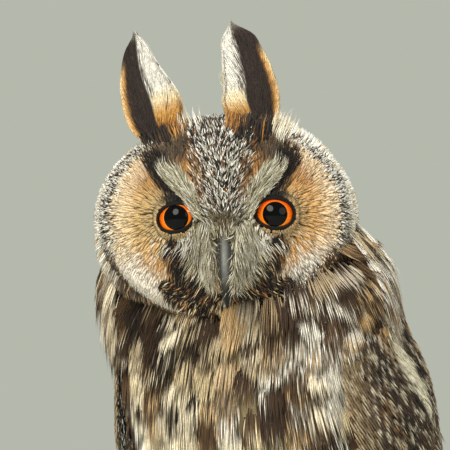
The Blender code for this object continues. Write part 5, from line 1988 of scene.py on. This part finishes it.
def eyelids(name, side):
    """A rounded rim of dark skin round the eye's opening."""
    mesh = bmesh.new()
    round_rod(mesh, 72, capped=False)
    bmesh.ops.translate(mesh, vec=(0, 0, 0.5), verts=mesh.verts[:])
    cut_across(mesh, [ring / 8 for ring in range(1, 8)])
    shape = np.array([v.co for v in mesh.verts])
    level = shape[:, 2]
    x, z = lid_opening(name, np.arctan2(shape[:, 1], shape[:, 0]))
    radius = np.hypot(x, z)
    grow = 1 + level * np.maximum(LID_WIDTH, LID_REACH - radius) / radius
    x, z = x * grow, z * grow
    reach = 10.0 + 0.3 * np.sin(np.pi * np.clip(level * 3, 0, 1)) - 0.9 * ease(level, 0.6, 1)
    y = -np.sqrt(np.clip(reach**2 - x**2 - z**2, 0.5, None))
    move_corners(mesh.verts, np.stack([side * x, y, z], 1))
    bmesh.ops.recalc_face_normals(mesh, faces=mesh.faces[:])
    bmesh.ops.solidify(mesh, geom=mesh.faces[:], thickness=0.5)
    data = finished(f"eyelids_{name}", mesh)
    points = vertex_places(data)
    set_tones(data, np.tile(BLACK * 0.3, (len(points), 1)))
    x, _, z = points[corner_points(data)].T
    set_map(data, "OFBake", x / 26 + 0.5, z / 26 + 0.5)
    move_mesh(data, points, eye_frame(side))
    add_piece(f"eyelids_{name}", data, lid_finish, "eye", f"eye_{name}")


def lid_barbs(name, side):
    draw = np.random.default_rng(91 + side)
    count, rows = 760, 3
    x, z = lid_opening(name, draw.uniform(0, 2 * np.pi, size=count))
    radius = np.hypot(x, z) + 0.25
    radius = radius + draw.uniform(0, 1, size=count) ** 0.8 * np.maximum(LID_REACH - radius, 0.2)
    roots = np.stack([np.arctan2(z, x) / DEGREE, radius], 1)
    lean = lambda degrees, radius: leaning(0.15 * np.sin(degrees * DEGREE))
    places = lay(f"lid_{name}", roots, lean, draw.uniform(1.6, 2.6, size=count), rows)
    angle, radius = places[:, 1].T
    out, up = radius * np.cos(angle * DEGREE), radius * np.sin(angle * DEGREE)
    tones = face_tones(side * (EYE_PLACE[0] + out) + FACE_MIDDLE, EYE_PLACE[1] + up, draw)
    tones = mix(tones, BLACK, 0.95 * ease(up - 0.7 * out, -1.0, 5.0))
    heights = 0.1 + (0.5 + 0.5 * draw.uniform(size=(count, 1))) * steps(rows)
    tones = shaded(tones, steps(rows), draw, 0.85)
    widths = np.full(count, 0.5)
    add_barbs(f"lid_barbs_{name}", f"lid_{name}", places, heights, widths, tones, ("head",))


# Each half of the bill: its middle line, back and up, then half its width and half its height.
UPPER_BILL = (
    (-26, -9.0, 4.4, 4.8),
    (-34, -9.0, 4.4, 5.0),
    (-41, -11.5, 4.1, 4.8),
    (-45, -17.0, 3.5, 4.2),
    (-45.8, -23.5, 2.7, 3.3),
    (-44.4, -29.5, 1.6, 2.1),
    (-42.2, -34.0, 0.35, 0.5),
)
LOWER_BILL = (
    (-26, -20.0, 3.4, 2.6),
    (-33, -21.0, 3.2, 2.4),
    (-37.5, -24.0, 2.6, 2.0),
    (-39.6, -27.6, 1.6, 1.2),
    (-40.2, -29.6, 0.4, 0.4),
)


def bill_half(name, rows, ridge):
    last = len(rows) - 1

    def centre(t):
        back, up = blend(rows, t * last)[:, :2].T
        return np.stack([0 * t, back, up], 1)

    def place(t, degrees):
        _, _, wide, high = blend(rows, t * last).T
        along = unit(centre(np.clip(t + 0.03, 0, 1)) - centre(np.clip(t - 0.03, 0, 1)))
        upright = np.stack([0 * t, -along[:, 2], along[:, 1]], 1)
        angle = degrees * DEGREE
        upper = np.cos(angle) > 0
        sideways = wide * np.sin(angle) * np.where(upper, 1 - ridge * np.cos(angle) ** 3, 1)
        return centre(t) + ACROSS * sideways[:, None] + upright * (high * np.cos(angle))[:, None]

    mesh = bmesh.new()
    globe(mesh, 40, 48, tube_place(place, lambda t, degrees: centre(t), 48))
    data = finished(name, mesh)
    points = vertex_places(data)
    out = np.abs(points[:, 0])
    # The ridge is painted a paler grey than the darker sides: partly the horn's own grey, partly a painted
    # highlight along the top. The tip is darker horn.
    tones = mix(colour(104, 104, 100), colour(46, 45, 44), ease(out, 0.3, 1.8))
    tones = mix(tones, colour(14, 13, 13), ease(-points[:, 2], 17, 29))
    # Painted shade: a dark spot stands for the shade inside the nostril's opening.
    nostril = np.hypot(points[:, 1] + 39.5, points[:, 2] + 8.6)
    tones = mix(tones, BLACK * 0.4, (1 - ease(nostril, 0.8, 1.3)) * (out > 2))
    set_tones(data, tones)
    x, y, z = points[corner_points(data)].T
    set_map(data, "OFBake", (y + 50) / 60 + np.where(x > 0, 0.5, 0.0), (z + 40) / 44)
    move_mesh(data, points, HEAD_MATRIX)
    add_piece(f"{name}_horn", data, bill_finish, "bill", name)


def foot(name, side):
    """The feathered toes and pad of a foot, and its claws."""
    draw = np.random.default_rng(81 + side)
    mesh = bmesh.new()

    def pad(turn, step):
        angle, polar = 2 * np.pi * turn, np.pi * step
        x = side * LEG_OUT + 9.0 * np.sin(polar) * np.cos(angle)
        y = 8.5 * np.sin(polar) * np.sin(angle)
        up = 6.4 + 4.9 * np.cos(polar)
        return np.stack([x * MM, PERCH_BACK + y * MM, PERCH_TOP + up * MM], 1)

    globe(mesh, 24, 16, pad)
    for toe in TOES:
        surface_name = f"toe_{name}_{toe}"
        surface, middle, _ = SURFACES[surface_name]
        thinner = lambda t, degrees, surface=surface, middle=middle: mix(
            middle(t, degrees), surface(t, degrees), np.full(len(t), 0.9)
        )
        globe(mesh, 20, 24, tube_place(thinner, middle, 24))
    node = f"foot_{name}"
    # Painted shade: the foot's skin shows only between the toe feathers, so its colour is darkened.
    add_solid(f"foot_skin_{name}", mesh, colour(190, 160, 118) * 0.8, plumage, "toe", node)
    flow = lambda t, degrees: np.stack([1 + 0 * t, 0.12 * np.sin(degrees * DEGREE)], 1)
    for toe in TOES:
        surface_name = f"toe_{name}_{toe}"
        roots = scatter(surface_name, (0.02, 0.93), (-135, 135), 420, draw)
        places = lay(surface_name, roots, flow, draw.uniform(2.6, 4.4, size=len(roots)), 3)
        places[:, :, 0] = np.minimum(places[:, :, 0], 1.06)
        tones = shaded(pick(draw, len(roots), TOE_TONES), steps(3), draw, 0.7)
        heights = rise(len(roots), 3, -0.4, 0.9, draw)
        widths = draw.uniform(0.5, 0.8, size=len(roots))
        piece = f"toe_feathers_{toe}_{name}"
        add_barbs(piece, surface_name, places, heights, widths, tones, (node,), slot="toe")
        claw(name, side, toe)


def claw(name, side, toe):
    line = claw_line(side, toe)
    mesh = bmesh.new()
    surface, middle = round_perch(line, claw_radii), middle_of(line)
    globe(mesh, 24, 32, tube_place(surface, middle, 32))

    def tones(points):
        return mix(colour(40, 36, 34), colour(14, 13, 13), ease(ripple(points / MM, 2, 5), -0.6, 0.6))

    add_solid(f"claw_horn_{toe}_{name}", mesh, tones, claw_finish, "claw", f"claw_{name}_{toe}")


# Stand

PERCH_LENGTH = 158
PERCH_RINGS = 150
BASE_SIZE = (156, 172, 14)
ROD_SPREAD = 56
ROD_RADIUS = 3.5
ROD_ENDS = (14.2, 108.6)


def level_edges(mesh, span):
    """The edges that rise by less than span, such as the rims of a rod's ends."""
    return [e for e in mesh.edges if abs(e.verts[0].co.z - e.verts[1].co.z) < span]


def bevel(mesh, edges, offset, segments):
    settings = {"profile": 0.5, "affect": "EDGES", "material": -1}
    bmesh.ops.bevel(mesh, geom=edges, offset=offset, segments=segments, **settings)


def branch():
    mesh = bmesh.new()
    round_rod(mesh, 96)
    bevel(mesh, level_edges(mesh, 0.5), 0.004, 2)
    cut_across(mesh, [ring / PERCH_RINGS - 0.5 for ring in range(1, PERCH_RINGS)])
    shape = np.array([v.co for v in mesh.verts])
    along = shape[:, 2]
    angle = np.arctan2(shape[:, 1], shape[:, 0])
    here = np.stack([along * 28, 5 * np.cos(angle), 5 * np.sin(angle)], 1)
    knobble = 0.35 * np.sin(17 * (along + 0.5)) - 0.35
    knobble = knobble + 0.32 * ripple(here, 1.3, 3) + 0.22 * ripple(here, 0.45, 4)
    radius = np.hypot(shape[:, 0], shape[:, 1]) * (12 + np.minimum(knobble, 0.35)) * MM
    y = PERCH_BACK + radius * np.cos(angle)
    z = PERCH_TOP - PERCH_RADIUS + radius * np.sin(angle)
    move_corners(mesh.verts, np.stack([along * PERCH_LENGTH * MM, y, z], 1))
    add_piece("branch", finished("branch", mesh), bark_finish, "bark", "stand_perch")


def base():
    width, depth, height = (size * MM for size in BASE_SIZE)
    mesh = bmesh.new()
    bmesh.ops.create_cube(mesh, size=1)
    bmesh.ops.scale(mesh, vec=(width, depth, height), verts=mesh.verts[:])
    bmesh.ops.translate(mesh, vec=(0, 0, height / 2), verts=mesh.verts[:])
    level = level_edges(mesh, height / 2)
    bevel(mesh, [e for e in mesh.edges if e not in level], 30 * MM, 20)
    bevel(mesh, [e for e in mesh.edges if min(v.co.z for v in e.verts) > height - 1e-6], 2.5 * MM, 5)
    bevel(mesh, [e for e in mesh.edges if max(v.co.z for v in e.verts) < 1e-6], 0.6 * MM, 2)
    add_piece("base_board", finished("base", mesh), base_finish, "base_wood", "stand_base")


def rod(name, side):
    foot_up, top_up = np.array(ROD_ENDS) * MM
    radii = {"radius1": ROD_RADIUS * MM, "radius2": ROD_RADIUS * MM}
    mesh = bmesh.new()
    bmesh.ops.create_cone(mesh, cap_ends=True, segments=48, depth=top_up - foot_up, **radii)
    bevel(mesh, level_edges(mesh, 0.01), 0.3 * MM, 2)
    middle = (side * ROD_SPREAD * MM, PERCH_BACK, (foot_up + top_up) / 2)
    bmesh.ops.translate(mesh, vec=middle, verts=mesh.verts[:])
    data = finished(f"rod_{name}", mesh)
    add_piece(f"rod_{name}", data, steel_finish, "steel", f"stand_rod_{name}")


# Studio

CAMERA_TURN = 30
CAMERA_DISTANCE = 2.5
CAMERA_TARGET = Vector((-0.002, -0.038, 0.340))


def aim(thing, turn, height, distance):
    """Places a lamp or camera round the target, in degrees, and points it there."""
    turn, height = turn * DEGREE, height * DEGREE
    level = math.cos(height)
    away = Vector((math.sin(turn) * level, -math.cos(turn) * level, math.sin(height)))
    thing.location = CAMERA_TARGET + away * distance
    thing.rotation_euler = away.to_track_quat("Z", "Y").to_euler()


def lamp(name, turn, height, distance, size, power, tint=(1, 1, 1)):
    light = bpy.data.lights.new(name, "AREA")
    light.shape = "DISK"
    light.size = size
    light.energy = power
    light.color = tint
    aim(new_object(name, light), turn, height, distance)


def studio():
    mesh = bmesh.new()
    bmesh.ops.create_circle(mesh, cap_ends=True, segments=96, radius=4)
    floor = new_object("floor", to_data("floor", mesh))
    floor.location = (0, 0, -0.0005)
    finish, tree = new_material("pale_floor")
    grain = noise(tree, object_place(tree), 6, 3)
    set_shader(tree, mixed(tree, colour(222, 221, 214), colour(214, 213, 206), grain), Roughness=0.8)
    floor.data.materials.append(finish)
    world = bpy.data.worlds.new("studio")
    world.use_nodes = True
    backdrop = world.node_tree.nodes["Background"]
    backdrop.inputs["Color"].default_value = (*colour(206, 210, 196), 1)
    backdrop.inputs["Strength"].default_value = 0.75
    bpy.context.scene.world = world
    lamp("key", 7, 31, 1.5, 0.9, 26, (1.0, 0.96, 0.88))
    lamp("fill", 84, 14, 1.8, 1.2, 9, (0.98, 0.98, 0.94))
    lamp("top", 205, 62, 1.5, 1.0, 18)
    bpy.context.scene.view_settings.view_transform = "Standard"
    camera = bpy.data.cameras.new("camera")
    camera.lens = 520
    camera.sensor_width = 36
    camera.clip_start = 0.05
    camera_object = new_object("camera", camera)
    aim(camera_object, CAMERA_TURN, 0, CAMERA_DISTANCE)
    bpy.context.scene.camera = camera_object


studio()
skin()
head_coat()
trunk()
tail()
bill_half("bill_upper", UPPER_BILL, 0.35)
bill_half("bill_lower", LOWER_BILL, 0.0)
for name, side in SIDES.items():
    eye(name, side)
    eyelids(name, side)
    lid_barbs(name, side)
    ear_tuft(name)
    wing(name, side)
    foot(name, side)
    rod(name, side)
branch()
base()
